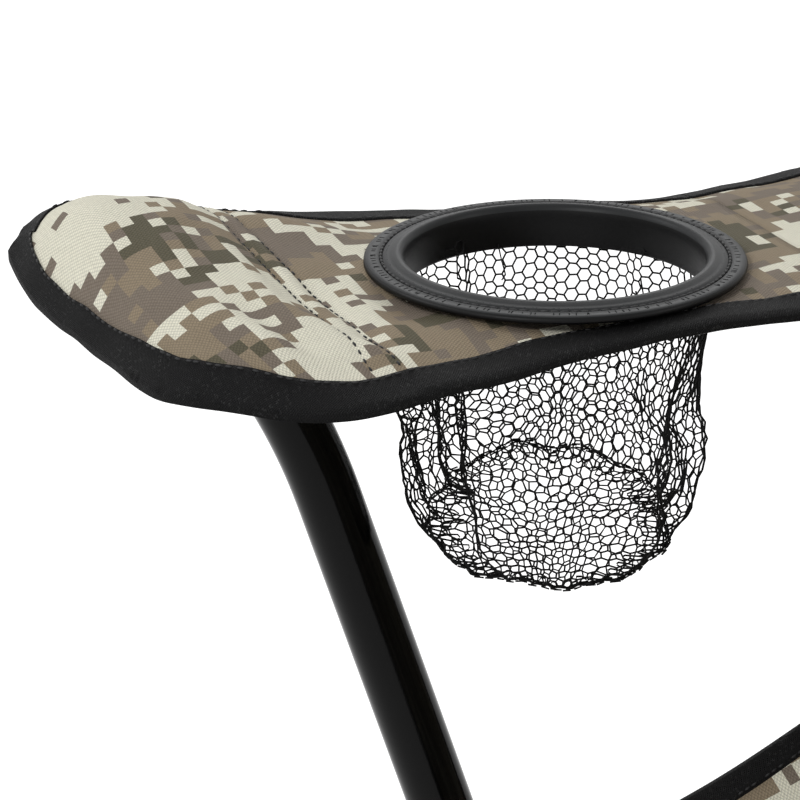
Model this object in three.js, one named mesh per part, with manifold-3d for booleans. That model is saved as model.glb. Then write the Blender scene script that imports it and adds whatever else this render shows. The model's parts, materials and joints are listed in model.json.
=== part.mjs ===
// A folding fishing armchair: four crossed pairs of steel tubes between moulded hubs and feet,
// two rear poles that carry a cloth sling, and cloth arms drawn over two leaning posts. The
// sitter's right arm holds a plastic ring with a net cup below it. Millimetres, +Z up, the
// sitter faces -Y, the origin lies on the ground at the middle.
import * as THREE from "three";
import { mergeVertices } from "three/addons/utils/BufferGeometryUtils.js";
import Module from "manifold-3d";

const wasm = await Module();
wasm.setup();

// Plan of the frame and its heights.
const poleSpacing = 470;
const frontHubY = -192.8;
const footPivotZ = 40;
const hubPivotZ = 370;
const pivotReach = 35;
const poleTopZ = 852;

// Tubes, rivets and the clearances between pieces.
const crossTubeRadius = 8;
const crossTubeWall = 1;
const crossTubeGap = 2;
const crossTubeOverhang = 12;
const poleRadius = 9.5;
const poleWall = 1.2;
const rivetRadius = 3;
const rivetHeadRadius = 6.5;
const rivetHeadHeight = 2.4;
const seatGap = 0.3;
const slideGap = 0.4;

// Moulded hubs and feet.
const lugThickness = 8;
const lugHalfHeight = 13;
const hubRadius = 16;
const hubBelowPivot = 22;
const hubAbovePivot = 31;
const sliderHalfHeight = 21;
const footRadius = 30;
const footPadHeight = 8;
const footTopAbovePivot = 24;
const socketDepthAboveGround = 12;
const earReach = 24;
const earHalfWidth = 11;
const earThickness = 6;

// Arm posts: straight in the hub, leaning forward, then bent level under the arm.
const postLeanDegrees = 19;
const postBendRadius = 30;
const postEndRun = 10;
const capHeight = 3;
const capPlugDepth = 9;

// Cloth: the sling, and the arms with their cup hole.
const clothThickness = 3;
const panelGap = 0.4;
const seamGap = 0.9;
const armHeight = 600;
const armRearRise = 34;
const armSplitBehindRing = 70;
const armFrontAheadOfRing = 137;
const armFoldRadius = 12;
const armFlapLength = 18;
const armOuterFront = 80;
const armOuterBack = 66;
const armInner = 61;
const armRearHalfWidth = 45;
const armTabHalfWidth = 12;
const armCrestRise = 4;
const armFrontTilt = 8;
const armInnerCorner = 45;
const armOuterCorner = 10;
const ringBehindPostTop = 117;
const ringInboard = 10;

// Cup ring and net.
const ringBoreRadius = 43;
const ringFlangeWidth = 12;
const ringLipWidth = 4.5;
const ringCollarWall = 1.6;
const ringFlangeHeight = 3.2;
const ringCollarDepth = 12;
const netDepth = 84;
const netBottomRadius = 37.5;
const netWall = 1.2;

// How finely round and bent pieces are divided.
const tubeSides = 12;
const hubSides = 18;
const rivetSides = 8;
const capSides = 12;
const ringSides = 36;
const netSides = 28;
const postSteps = 21;

// Places that follow from the sizes above.
const poleX = poleSpacing / 2;
const rearPoleY = frontHubY + poleSpacing;
const tubePlane = crossTubeRadius + crossTubeGap / 2;
const rivetHoleRadius = rivetRadius + seatGap;
const postTopZ = armHeight + armCrestRise - clothThickness / 2 - seatGap - poleRadius;
const ringOuterRadius = ringBoreRadius + ringFlangeWidth;

const SIDES = { left: 1, right: -1 };

const steelPaint = new THREE.MeshStandardMaterial({ color: 0x101113, roughness: 0.25, metalness: 0.3 });
const mouldedBlack = new THREE.MeshStandardMaterial({ color: 0x1b1c1e, roughness: 0.55, metalness: 0 });
const rivetSteel = new THREE.MeshStandardMaterial({ color: 0x8d8f92, roughness: 0.35, metalness: 1 });
const ringPlastic = new THREE.MeshStandardMaterial({ color: 0x3b3d40, roughness: 0.45, metalness: 0 });
const camoCloth = new THREE.MeshStandardMaterial({ color: 0x8a7f69, roughness: 0.9, metalness: 0 });
const netCloth = new THREE.MeshStandardMaterial({ color: 0x141414, roughness: 0.85, metalness: 0 });
const webbing = new THREE.MeshStandardMaterial({ color: 0x18181a, roughness: 0.8, metalness: 0 });

const chair = new THREE.Group();

// A closed geometry as a solid that can be joined and cut.
function solidFrom(geometry) {
  const plain = geometry.index ? geometry.toNonIndexed() : geometry.clone();
  plain.deleteAttribute("normal");
  plain.deleteAttribute("uv");
  const merged = mergeVertices(plain, 1e-4);
  return new wasm.Manifold(
    new wasm.Mesh({
      numProp: 3,
      vertProperties: merged.attributes.position.array,
      triVerts: new Uint32Array(merged.index.array),
    }),
  );
}

// A joined or cut solid as a geometry.
function geometryFrom(solid) {
  const mesh = solid.getMesh();
  const geometry = new THREE.BufferGeometry();
  geometry.setAttribute("position", new THREE.BufferAttribute(mesh.vertProperties.slice(), 3));
  geometry.setIndex(new THREE.BufferAttribute(mesh.triVerts.slice(), 1));
  geometry.computeVertexNormals();
  return geometry;
}

function add(name, geometry, material, place = new THREE.Matrix4()) {
  const mesh = new THREE.Mesh(geometry, material);
  mesh.name = name;
  mesh.applyMatrix4(place);
  chair.add(mesh);
  return mesh;
}

// A turned solid about +Z: profile points are [radius, z], from the axis back to the axis,
// rising on the outside.
function turned(profile, segments = 32) {
  const points = profile.map(([radius, z]) => new THREE.Vector2(radius, z));
  return new THREE.LatheGeometry(points, segments).rotateX(Math.PI / 2);
}

// A cylinder along +Z from low to high.
function rod(radius, low, high, segments = 24) {
  const cylinder = new THREE.CylinderGeometry(radius, radius, high - low, segments);
  return cylinder.rotateX(Math.PI / 2).translate(0, 0, (low + high) / 2);
}

// The frame whose X, Y and Z run along the three directions, at a point.
function frameAt(point, xAxis, yAxis, zAxis) {
  return new THREE.Matrix4().makeBasis(xAxis, yAxis, zAxis).setPosition(point);
}

const UP = new THREE.Vector3(0, 0, 1);

// A ring section for hollow tubes.
function tubeSection(outerRadius, wall) {
  const section = new THREE.Shape().absarc(0, 0, outerRadius, 0, 2 * Math.PI, false);
  section.holes.push(new THREE.Path().absarc(0, 0, outerRadius - wall, 0, 2 * Math.PI, true));
  return section;
}

// One tube of a crossed pair. It lies beside the plane through both pivots, at offset along the
// rivets' direction, and has a rivet hole at each end and at the crossing.
function addCrossTube(name, lowPivot, highPivot, rivetAxis, offset) {
  const length = lowPivot.distanceTo(highPivot);
  const run = highPivot.clone().sub(lowPivot).normalize();
  const section = tubeSection(crossTubeRadius, crossTubeWall);
  const tube = new THREE.ExtrudeGeometry(section, {
    depth: length + 2 * crossTubeOverhang,
    bevelEnabled: false,
    curveSegments: tubeSides / 2,
  }).translate(0, 0, -crossTubeOverhang);
  let solid = solidFrom(tube);
  for (const along of [0, length / 2, length]) {
    const drill = rod(rivetHoleRadius, -crossTubeRadius - 1, crossTubeRadius + 1, rivetSides);
    solid = solid.subtract(solidFrom(drill.rotateY(Math.PI / 2).translate(0, 0, along)));
  }
  const side = new THREE.Vector3().crossVectors(run, rivetAxis);
  const start = lowPivot.clone().addScaledVector(rivetAxis, offset);
  add(name, geometryFrom(solid), steelPaint, frameAt(start, rivetAxis, side, run));
}

// A rivet with two domed heads, its shank along the axis from low to high.
function addRivet(name, centre, axis, low, high, collarHalf = 0) {
  const dome = rivetHeadRadius * 0.6;
  const collarRadius = rivetHeadRadius + 1;
  const collar = collarHalf
    ? [
        [rivetRadius, -collarHalf],
        [collarRadius, -collarHalf],
        [collarRadius, collarHalf],
        [rivetRadius, collarHalf],
      ]
    : [];
  const profile = [
    [0, low - rivetHeadHeight],
    [dome, low - rivetHeadHeight * 0.9],
    [rivetHeadRadius, low],
    [rivetRadius, low],
    ...collar,
    [rivetRadius, high],
    [rivetHeadRadius, high],
    [dome, high + rivetHeadHeight * 0.9],
    [0, high + rivetHeadHeight],
  ];
  const across = new THREE.Vector3().crossVectors(UP, axis);
  add(name, turned(profile, rivetSides), rivetSteel, frameAt(centre, across, UP.clone().negate(), axis));
}

// The side pairs' rivets point across the chair, and the front and rear pairs' rivets rearward.
const ACROSS = new THREE.Vector3(1, 0, 0);
const REARWARD = new THREE.Vector3(0, 1, 0);

// A lug plate: it reaches from the hub's axis along a direction, with its round end at the
// pivot, and stands beside the tube that lies at offset along the rivet's axis.
function lugSolid(centre, direction, rivetAxis, offset, pivotZ) {
  const outline = new THREE.Shape();
  outline.moveTo(0, -lugHalfHeight);
  outline.lineTo(pivotReach, -lugHalfHeight);
  outline.absarc(pivotReach, 0, lugHalfHeight, -Math.PI / 2, Math.PI / 2, false);
  outline.lineTo(0, lugHalfHeight);
  outline.holes.push(new THREE.Path().absarc(pivotReach, 0, rivetHoleRadius, 0, 2 * Math.PI, true));
  const plate = new THREE.ExtrudeGeometry(outline, {
    depth: lugThickness,
    bevelEnabled: false,
    curveSegments: 6,
  });
  const normal = new THREE.Vector3().crossVectors(direction, UP);
  const facing = Math.sign(offset) * Math.sign(normal.dot(rivetAxis));
  const face = crossTubeGap / 2 - seatGap;
  const near = facing > 0 ? face - lugThickness : -face;
  const foot = new THREE.Vector3(centre.x, centre.y, pivotZ);
  return solidFrom(plate.translate(0, 0, near).applyMatrix4(frameAt(foot, direction, UP, normal)));
}

// The four corners. Each holds one end of a tube that crosses the chair and one of a side tube.
const CORNERS = ["left", "right"].flatMap((sideName) =>
  ["rear", "front"].map((endName) => ({ sideName, endName })),
);

function cornerPlan({ sideName, endName }) {
  const side = SIDES[sideName];
  const rear = endName === "rear";
  const centre = new THREE.Vector3(side * poleX, rear ? rearPoleY : frontHubY, 0);
  const inward = new THREE.Vector3(-side, 0, 0);
  const between = new THREE.Vector3(0, rear ? -1 : 1, 0);
  return { side, rear, centre, inward, between };
}

// How far along the rivets a tube lies. A crossing pair's tube that rises to the right is the
// outer one, and a side pair's tube that rises forward is the outer one.
function crossOffset(endName, risingSide) {
  const outer = endName === "rear" ? 1 : -1;
  return tubePlane * outer * (risingSide === "right" ? 1 : -1);
}

function sideOffset(sideName, risingEnd) {
  return tubePlane * SIDES[sideName] * (risingEnd === "front" ? 1 : -1);
}

// Both lugs of a corner, low (at its foot) or high (at its hub), with the offsets of its tubes.
function cornerOffsets({ sideName, endName }, high) {
  const otherSide = sideName === "left" ? "right" : "left";
  const otherEnd = endName === "front" ? "rear" : "front";
  return {
    cross: crossOffset(endName, high ? sideName : otherSide),
    side: sideOffset(sideName, high ? endName : otherEnd),
  };
}

function lugPair(corner, high, pivotZ) {
  const { centre, inward, between } = cornerPlan(corner);
  const offsets = cornerOffsets(corner, high);
  return [
    lugSolid(centre, inward, REARWARD, offsets.cross, pivotZ),
    lugSolid(centre, between, ACROSS, offsets.side, pivotZ),
  ];
}

// Joins a body of revolution and its lugs, and bores it along its axis.
function hubSolid(corner, profile, lugs, boreRadius, boreLow, boreHigh) {
  const { centre } = cornerPlan(corner);
  let solid = solidFrom(turned(profile, hubSides).translate(centre.x, centre.y, 0));
  for (const lug of lugs) solid = solid.add(lug);
  if (boreRadius > 0) {
    const bore = rod(boreRadius, boreLow, boreHigh, hubSides).translate(centre.x, centre.y, 0);
    solid = solid.subtract(solidFrom(bore));
  }
  return solid;
}

function columnProfile(low, high, edge = 2) {
  return [
    [0, low],
    [hubRadius - edge, low],
    [hubRadius, low + edge],
    [hubRadius, high - edge],
    [hubRadius - edge, high],
    [0, high],
  ];
}

// Feet: a broad pad under a column. A rear foot is the socket of its pole.
function addFoot(corner) {
  const top = footPivotZ + footTopAbovePivot;
  const profile = [
    [0, 0],
    [footRadius - 1.5, 0],
    [footRadius, 3],
    [footRadius - 2, footPadHeight],
    [hubRadius + 2, footPadHeight + 8],
    [hubRadius, top - 3],
    [hubRadius - 3, top],
    [0, top],
  ];
  const boreRadius = corner.endName === "rear" ? poleRadius + seatGap : 0;
  const lugs = lugPair(corner, false, footPivotZ);
  const solid = hubSolid(corner, profile, lugs, boreRadius, socketDepthAboveGround, top + 1);
  add(`${corner.endName}_foot_${corner.sideName}`, geometryFrom(solid), mouldedBlack);
}

// Front hubs: a blind socket for the post, and an ear at the top that carries the sling's corner.
const hubTopZ = hubPivotZ + hubAbovePivot;
const hubLowZ = hubPivotZ - hubBelowPivot;
const postSocketZ = hubLowZ + 6;

function addFrontHub(corner) {
  const { centre, inward } = cornerPlan(corner);
  const outline = new THREE.Shape();
  outline.moveTo(0, -earHalfWidth);
  outline.lineTo(earReach, -earHalfWidth);
  outline.absarc(earReach, 0, earHalfWidth, -Math.PI / 2, Math.PI / 2, false);
  outline.lineTo(0, earHalfWidth);
  const ear = new THREE.ExtrudeGeometry(outline, {
    depth: earThickness,
    bevelEnabled: false,
    curveSegments: 6,
  });
  const across = new THREE.Vector3().crossVectors(UP, inward);
  const foot = new THREE.Vector3(centre.x, centre.y, hubTopZ - earThickness);
  const earSolid = solidFrom(ear.applyMatrix4(frameAt(foot, inward, across, UP)));
  const lugs = [...lugPair(corner, true, hubPivotZ), earSolid];
  const profile = columnProfile(hubLowZ, hubTopZ);
  const solid = hubSolid(corner, profile, lugs, poleRadius + seatGap, postSocketZ, hubTopZ + 1);
  add(`front_hub_${corner.sideName}`, geometryFrom(solid), mouldedBlack);
}

// Rear sliders run on the poles.
function addSlider(corner) {
  const low = hubPivotZ - sliderHalfHeight;
  const high = hubPivotZ + sliderHalfHeight;
  const lugs = lugPair(corner, true, hubPivotZ);
  const solid = hubSolid(corner, columnProfile(low, high), lugs, poleRadius + slideGap, low - 1, high + 1);
  add(`rear_slider_${corner.sideName}`, geometryFrom(solid), mouldedBlack);
}

// An end cap: a plug inside the tube and a low dome over its end, with the axis along +Z.
function capGeometry() {
  const plug = poleRadius - poleWall - seatGap;
  return turned(
    [
      [0, -capPlugDepth],
      [plug, -capPlugDepth],
      [plug, seatGap],
      [poleRadius, seatGap],
      [poleRadius, seatGap + capHeight * 0.4],
      [poleRadius * 0.7, seatGap + capHeight],
      [0, seatGap + capHeight],
    ],
    capSides,
  );
}

function addPole(corner) {
  const { centre } = cornerPlan(corner);
  const low = socketDepthAboveGround + seatGap;
  const pole = new THREE.ExtrudeGeometry(tubeSection(poleRadius, poleWall), {
    depth: poleTopZ - low,
    bevelEnabled: false,
    curveSegments: tubeSides / 2,
  });
  add(`rear_pole_${corner.sideName}`, pole, steelPaint, place(centre.x, centre.y, low));
  add(`pole_cap_${corner.sideName}`, capGeometry(), mouldedBlack, place(centre.x, centre.y, poleTopZ));
}

function place(x, y, z) {
  return new THREE.Matrix4().makeTranslation(x, y, z);
}

// The post's centre line, by arc length: up in the socket, a first bend to the lean, a straight
// stretch, and a last bend to level under the arm.
class PostLine extends THREE.Curve {
  constructor(x) {
    super();
    const lean = THREE.MathUtils.degToRad(postLeanDegrees);
    const foot = postSocketZ + seatGap;
    const lastTurn = Math.PI / 2 - lean;
    const bendRise = postBendRadius * Math.sin(lean);
    const lastRise = postBendRadius * (1 - Math.sin(lean));
    const upright = hubTopZ + 1 - foot;
    const straight = (postTopZ - lastRise - bendRise - foot - upright) / Math.cos(lean);
    this.start = new THREE.Vector3(x, frontHubY, foot);
    this.stretches = [
      { length: upright, turn: 0 },
      { length: postBendRadius * lean, turn: lean },
      { length: straight, turn: 0 },
      { length: postBendRadius * lastTurn, turn: lastTurn },
      { length: postEndRun, turn: 0 },
    ];
    this.total = this.stretches.reduce((sum, stretch) => sum + stretch.length, 0);
  }

  getPoint(t, target = new THREE.Vector3()) {
    let left = t * this.total;
    let lean = 0;
    let forward = 0;
    let rise = 0;
    for (const { length, turn } of this.stretches) {
      const run = Math.min(left, length);
      if (turn === 0) {
        forward += run * Math.sin(lean);
        rise += run * Math.cos(lean);
      } else {
        const radius = length / turn;
        const turned = run / radius;
        forward += radius * (Math.cos(lean) - Math.cos(lean + turned));
        rise += radius * (Math.sin(lean + turned) - Math.sin(lean));
        lean += turned;
      }
      left -= run;
      if (left <= 0) break;
    }
    return target.set(this.start.x, this.start.y - forward, this.start.z + rise);
  }
}

function addPost(sideName) {
  const line = new PostLine(SIDES[sideName] * poleX);
  const post = new THREE.ExtrudeGeometry(tubeSection(poleRadius, poleWall), {
    extrudePath: line,
    steps: postSteps,
    curveSegments: tubeSides / 2,
  });
  add(`arm_post_${sideName}`, post, steelPaint);
  const forward = new THREE.Vector3(0, -1, 0);
  add(`post_cap_${sideName}`, capGeometry(), mouldedBlack, frameAt(line.getPoint(1), ACROSS, UP, forward));
}

function pivotPoint(corner, family, pivotZ) {
  const { centre, inward, between } = cornerPlan(corner);
  const reach = family === "cross" ? inward : between;
  return centre.clone().addScaledVector(reach, pivotReach).setZ(pivotZ);
}

// A rivet for each lug, its shank through the lug and the tube beside it.
function addLugRivets(corner, high, pivotZ, owner) {
  const offsets = cornerOffsets(corner, high);
  const lugSide = crossTubeGap / 2 - seatGap - lugThickness - seatGap;
  const tubeSide = tubePlane + crossTubeRadius + seatGap;
  for (const [family, axis] of [["cross", REARWARD], ["side", ACROSS]]) {
    const facing = axis.clone().multiplyScalar(Math.sign(offsets[family]));
    addRivet(`${owner}_${family}_rivet`, pivotPoint(corner, family, pivotZ), facing, lugSide, tubeSide);
  }
}

// The crossed pairs: one at the rear, one at the front and one at each side.
function addCrossedPair(family, at) {
  const rivetAxis = family === "cross" ? REARWARD : ACROSS;
  const ends = family === "cross" ? ["left", "right"] : ["rear", "front"];
  const words = { left: "left", right: "right", rear: "rearward", front: "forward" };
  for (const rising of ends) {
    const falling = ends.find((name) => name !== rising);
    const cornerOf = (name) =>
      family === "cross" ? { sideName: name, endName: at } : { sideName: at, endName: name };
    const low = pivotPoint(cornerOf(falling), family, footPivotZ);
    const high = pivotPoint(cornerOf(rising), family, hubPivotZ);
    const offset = family === "cross" ? crossOffset(at, rising) : sideOffset(at, rising);
    addCrossTube(`${at}_tube_rising_${words[rising]}`, low, high, rivetAxis, offset);
    if (rising === ends[0]) {
      const reach = tubePlane + crossTubeRadius + seatGap;
      const middle = low.clone().add(high).multiplyScalar(0.5);
      addRivet(`${at}_crossing_rivet`, middle, rivetAxis, -reach, reach, crossTubeGap / 2 - seatGap);
    }
  }
}

// A sheet of cloth as a closed solid: the points of its middle surface on a grid, thickened
// both ways along their normals.
function sheetSolid(pointAt, alongSteps, acrossSteps, thickness) {
  const columns = acrossSteps + 1;
  const layer = (alongSteps + 1) * columns;
  const small = 1e-3;
  const positions = [];
  for (const half of [thickness / 2, -thickness / 2])
    for (let i = 0; i <= alongSteps; i++)
      for (let j = 0; j <= acrossSteps; j++) {
        const u = i / alongSteps;
        const v = j / acrossSteps;
        const along = pointAt(u + small, v).sub(pointAt(u - small, v));
        const across = pointAt(u, v + small).sub(pointAt(u, v - small));
        const normal = along.cross(across).normalize();
        positions.push(...pointAt(u, v).addScaledVector(normal, half).toArray());
      }
  const faces = [];
  const quad = (a, b, c, d) => faces.push(a, b, c, a, c, d);
  for (let i = 0; i < alongSteps; i++)
    for (let j = 0; j < acrossSteps; j++) {
      const a = i * columns + j;
      quad(a, a + columns, a + columns + 1, a + 1);
      quad(layer + a, layer + a + 1, layer + a + columns + 1, layer + a + columns);
    }
  const rim = [];
  for (let j = 0; j < acrossSteps; j++) rim.push(j);
  for (let i = 0; i < alongSteps; i++) rim.push(i * columns + acrossSteps);
  for (let j = acrossSteps; j > 0; j--) rim.push(alongSteps * columns + j);
  for (let i = alongSteps; i > 0; i--) rim.push(i * columns);
  rim.forEach((from, k) => {
    const to = rim[(k + 1) % rim.length];
    quad(from, to, layer + to, layer + from);
  });
  const geometry = new THREE.BufferGeometry();
  geometry.setAttribute("position", new THREE.Float32BufferAttribute(positions, 3));
  geometry.setIndex(faces);
  return solidFrom(geometry);
}

// The sling. Its middle line sags from the front hubs and climbs to the pole tops, and its side
// edges run straight from the hubs to the poles and then up them.
const slingHalfWidth = poleX - poleRadius - panelGap;
const slingFrontZ = hubTopZ + panelGap + clothThickness / 2;
const slingRearEdgeRise = 223;
const slingRearEdgeZ = slingFrontZ + slingRearEdgeRise;
const slingBelowPoleTop = 6;
const slingTopZ = poleTopZ - slingBelowPoleTop;
const slingSag = 52;
const slingFallRun = 70;
const slingFlatStart = 170;
const slingFlatEnd = 190;
const slingCurlReach = 98;
const slingRiseReach = 46;
const slingRise = 58;
const slingBackReach = 24;
const slingBackRise = 168;
const slingBackMiddleRise = 290;
const slingFrontOverhang = 5;
const slingCornerOverhang = 9;
const slingBackBulge = 12;
const slingSteepness = 2.6;
const slingSeams = [0, 0.3, 0.52, 0.7, 1];

const slingMiddle = new THREE.CatmullRomCurve3(
  [
    [frontHubY - slingFrontOverhang, slingFrontZ],
    [frontHubY + slingFallRun, slingFrontZ - 0.6 * slingSag],
    [frontHubY + slingFlatStart, slingFrontZ - slingSag],
    [rearPoleY - slingFlatEnd, slingFrontZ - slingSag],
    [rearPoleY - slingCurlReach, slingFrontZ - 0.4 * slingSag],
    [rearPoleY - slingRiseReach, slingFrontZ + slingRise],
    [rearPoleY - slingBackReach, slingFrontZ + slingBackRise],
    [rearPoleY + 0.2 * slingBackBulge, slingFrontZ + slingBackMiddleRise],
    [rearPoleY + slingBackBulge, slingTopZ - 4],
  ].map(([y, z]) => new THREE.Vector3(0, y, z)),
);
const slingEdge = new THREE.CatmullRomCurve3(
  [
    ...[0, 0.14, 0.3, 0.5, 0.68, 0.84, 1].map((part) => [
      frontHubY - slingCornerOverhang + part * (rearPoleY - frontHubY + slingCornerOverhang),
      slingFrontZ + part * (slingRearEdgeZ - slingFrontZ),
    ]),
    [rearPoleY, slingRearEdgeZ + 0.5 * (slingTopZ - slingRearEdgeZ)],
    [rearPoleY, slingTopZ],
  ].map(([y, z]) => new THREE.Vector3(0, y, z)),
);

// A point of the sling: u from the front edge to the top, v from -1 to 1 across.
function slingPoint(u, v) {
  const along = THREE.MathUtils.clamp(u, 0, 1);
  const point = slingMiddle.getPoint(along);
  point.lerp(slingEdge.getPoint(along), Math.abs(v) ** slingSteepness);
  return point.setX(v * slingHalfWidth);
}

const SLING_PANELS = ["sling_front", "sling_middle", "sling_rear", "sling_back"];

function addSling() {
  const half = seamGap / 2 / slingEdge.getLength();
  SLING_PANELS.forEach((name, k) => {
    const low = slingSeams[k] + (k > 0 ? half : 0);
    const high = slingSeams[k + 1] - (k + 1 < SLING_PANELS.length ? half : 0);
    const panel = (i, j) => slingPoint(low + i * (high - low), 2 * j - 1);
    add(name, geometryFrom(sheetSolid(panel, 7, 12, clothThickness)), camoCloth);
  });
}

// Webbing from each slider's inner lug up to the sling, sewn on at a share along it and across.
const strapWidth = 22;
const strapThickness = 1.6;
const strapSewnAlong = 0.6;
const strapSewnAcross = 0.74;
const step = 0.001;

function addStrap(sideName) {
  const side = SIDES[sideName];
  const corner = { sideName, endName: "rear" };
  const offset = cornerOffsets(corner, true).cross;
  const lugMiddle = Math.sign(offset) * (crossTubeGap / 2 - seatGap - lugThickness / 2);
  const startZ = hubPivotZ + lugHalfHeight + seatGap + strapThickness / 2;
  const reach = clothThickness / 2 + strapThickness / 2 + panelGap;
  const strap = (i, j) => {
    const spread = (j - 0.5) * strapWidth;
    const from = new THREE.Vector3(side * (poleX - pivotReach) + spread, rearPoleY + lugMiddle, startZ);
    const u = strapSewnAlong;
    const v = side * strapSewnAcross + spread / slingHalfWidth;
    const onSling = slingPoint(u, v);
    const along = slingPoint(u + step, v).sub(slingPoint(u - step, v));
    const across = slingPoint(u, v + step).sub(slingPoint(u, v - step));
    const normal = along.cross(across).normalize();
    onSling.addScaledVector(normal, Math.sign(normal.z) * -reach);
    return from.lerp(onSling, i);
  };
  add(`sling_strap_${sideName}`, geometryFrom(sheetSolid(strap, 3, 2, strapThickness)), webbing);
}

// The arms. Along each one, its top runs from the pole to the front edge, where the cloth turns
// down and back as a short flap under the post's end.
const postEndY = new PostLine(0).getPoint(1).y;
const ringY = postEndY + ringBehindPostTop;
const armSplitY = ringY + armSplitBehindRing;
const armFrontY = ringY - armFrontAheadOfRing;
const armRearY = rearPoleY - poleRadius - panelGap;
const droopStart = ringOuterRadius + 3;
const droopRate = 0.17;
const sideDroop = 4;
const armRoundLength = 44;
const crestStart = ringOuterRadius + 5;
const crestRun = 30;

// How far a round corner of the arm's front draws its edge in, at a distance behind the front.
function cornerCut(radius, behindFront) {
  const into = Math.max(0, radius - Math.max(behindFront, 1));
  return radius - Math.sqrt(radius ** 2 - into ** 2);
}

// The arm's inner and outer reach from the ring's centre line, at a place along it.
function armReaches(y) {
  const share = THREE.MathUtils.clamp((y - armFrontY) / (armSplitY - armFrontY), 0, 1);
  const back = THREE.MathUtils.clamp((y - armSplitY) / (armRearY - armRoundLength - armSplitY), 0, 1);
  let inner = THREE.MathUtils.lerp(armInner, armRearHalfWidth - ringInboard, back);
  let outer = THREE.MathUtils.lerp(armOuterFront, armOuterBack, share);
  outer = THREE.MathUtils.lerp(outer, armRearHalfWidth + ringInboard, back);
  const intoRound = THREE.MathUtils.clamp((y - (armRearY - armRoundLength)) / armRoundLength, 0, 1);
  const least = armTabHalfWidth / armRearHalfWidth;
  const narrowing = Math.sqrt(1 - intoRound ** 2 * (1 - least ** 2));
  inner = (inner + ringInboard) * narrowing - ringInboard - cornerCut(armInnerCorner, y - armFrontY);
  outer = (outer - ringInboard) * narrowing + ringInboard - cornerCut(armOuterCorner, y - armFrontY);
  return { inner, outer };
}

// A point of an arm at a length along it and a share across it. Its sides droop, and in front of
// the ring it rises over the post's end and tilts down towards the seat.
function armPoint(side, y, z, j) {
  const { inner, outer } = armReaches(y);
  const fromRing = THREE.MathUtils.lerp(-inner, outer, j);
  const away = Math.hypot(fromRing, y - ringY);
  const overPost = THREE.MathUtils.smoothstep(ringY - y, crestStart, crestStart + crestRun);
  const hang = droopRate * Math.max(0, away - droopStart);
  const onOuterSide = fromRing > 0 || y > ringY;
  const droop = (2 * j - 1) ** 2 * (onOuterSide ? Math.min(hang, sideDroop) * (1 - overPost) : hang);
  const rise = overPost * (armCrestRise + (armFrontTilt * fromRing) / armInner);
  const x = side * (poleX - ringInboard + fromRing);
  return new THREE.Vector3(x, y, z + rise - droop);
}

function addArm(sideName, hasCup) {
  const side = SIDES[sideName];
  const topLength = armSplitY - armFrontY - armFoldRadius;
  const foldLength = Math.PI * armFoldRadius;
  const total = topLength + foldLength + armFlapLength;
  const front = (i, j) => {
    const run = i * total;
    if (run < topLength) return armPoint(side, armSplitY - run, armHeight, j);
    const turn = Math.min((run - topLength) / armFoldRadius, Math.PI);
    const flap = Math.max(0, run - topLength - foldLength);
    const y = armFrontY + armFoldRadius * (1 - Math.sin(turn)) + flap;
    return armPoint(side, y, armHeight - armFoldRadius * (1 - Math.cos(turn)), j);
  };
  let frontSolid = sheetSolid(front, 24, 8, clothThickness);
  if (hasCup) {
    const radius = ringBoreRadius + ringCollarWall + seatGap;
    const drill = rod(radius, armHeight - 10, armHeight + 10, ringSides);
    drill.translate(side * (poleX - ringInboard), ringY, 0);
    frontSolid = frontSolid.subtract(solidFrom(drill));
  }
  add(`arm_front_${sideName}`, geometryFrom(frontSolid), camoCloth);
  const rear = (i, j) => {
    const y = THREE.MathUtils.lerp(armSplitY + panelGap, armRearY, i);
    return armPoint(side, y, armHeight + armRearRise * i, 1 - j);
  };
  add(`arm_rear_${sideName}`, geometryFrom(sheetSolid(rear, 9, 6, clothThickness)), camoCloth);
}

// The cup: a flanged ring whose collar goes through the arm, and a net bag round the collar.
function addCup(side) {
  const low = armHeight + clothThickness / 2 + seatGap;
  const top = low + ringFlangeHeight;
  const collar = ringBoreRadius + ringCollarWall;
  const ring = turned(
    [
      [ringBoreRadius, low - ringCollarDepth],
      [collar, low - ringCollarDepth],
      [collar, low],
      [ringOuterRadius - 0.6, low],
      [ringOuterRadius, low + 0.8],
      [ringOuterRadius - 0.8, top - 1],
      [ringOuterRadius - 3, top - 0.5],
      [ringBoreRadius + ringLipWidth, top],
      [ringBoreRadius + ringLipWidth / 2, top + 0.5],
      [ringBoreRadius + 0.6, top - 0.4],
      [ringBoreRadius, top - 2],
      [ringBoreRadius, low - ringCollarDepth],
    ],
    ringSides,
  );
  const centre = place(side * (poleX - ringInboard), ringY, 0);
  add("cup_ring", ring, ringPlastic, centre);
  const netTop = armHeight - clothThickness / 2 - seatGap;
  const netBottom = netTop - netDepth;
  const rimRadius = collar + seatGap;
  const rimLow = low - ringCollarDepth - 1;
  const curve = 7;
  const net = turned(
    [
      [0, netBottom],
      [netBottomRadius - curve, netBottom],
      [netBottomRadius - 0.3 * curve, netBottom + 0.3 * curve],
      [netBottomRadius, netBottom + curve],
      [rimRadius + netWall, rimLow],
      [rimRadius + netWall, netTop],
      [rimRadius, netTop],
      [rimRadius, rimLow],
      [netBottomRadius - netWall, netBottom + curve],
      [netBottomRadius - 0.3 * curve - netWall * 0.7, netBottom + 0.3 * curve + netWall * 0.7],
      [netBottomRadius - curve, netBottom + netWall],
      [0, netBottom + netWall],
    ],
    netSides,
  );
  add("net_cup", net, netCloth, centre);
}

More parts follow.
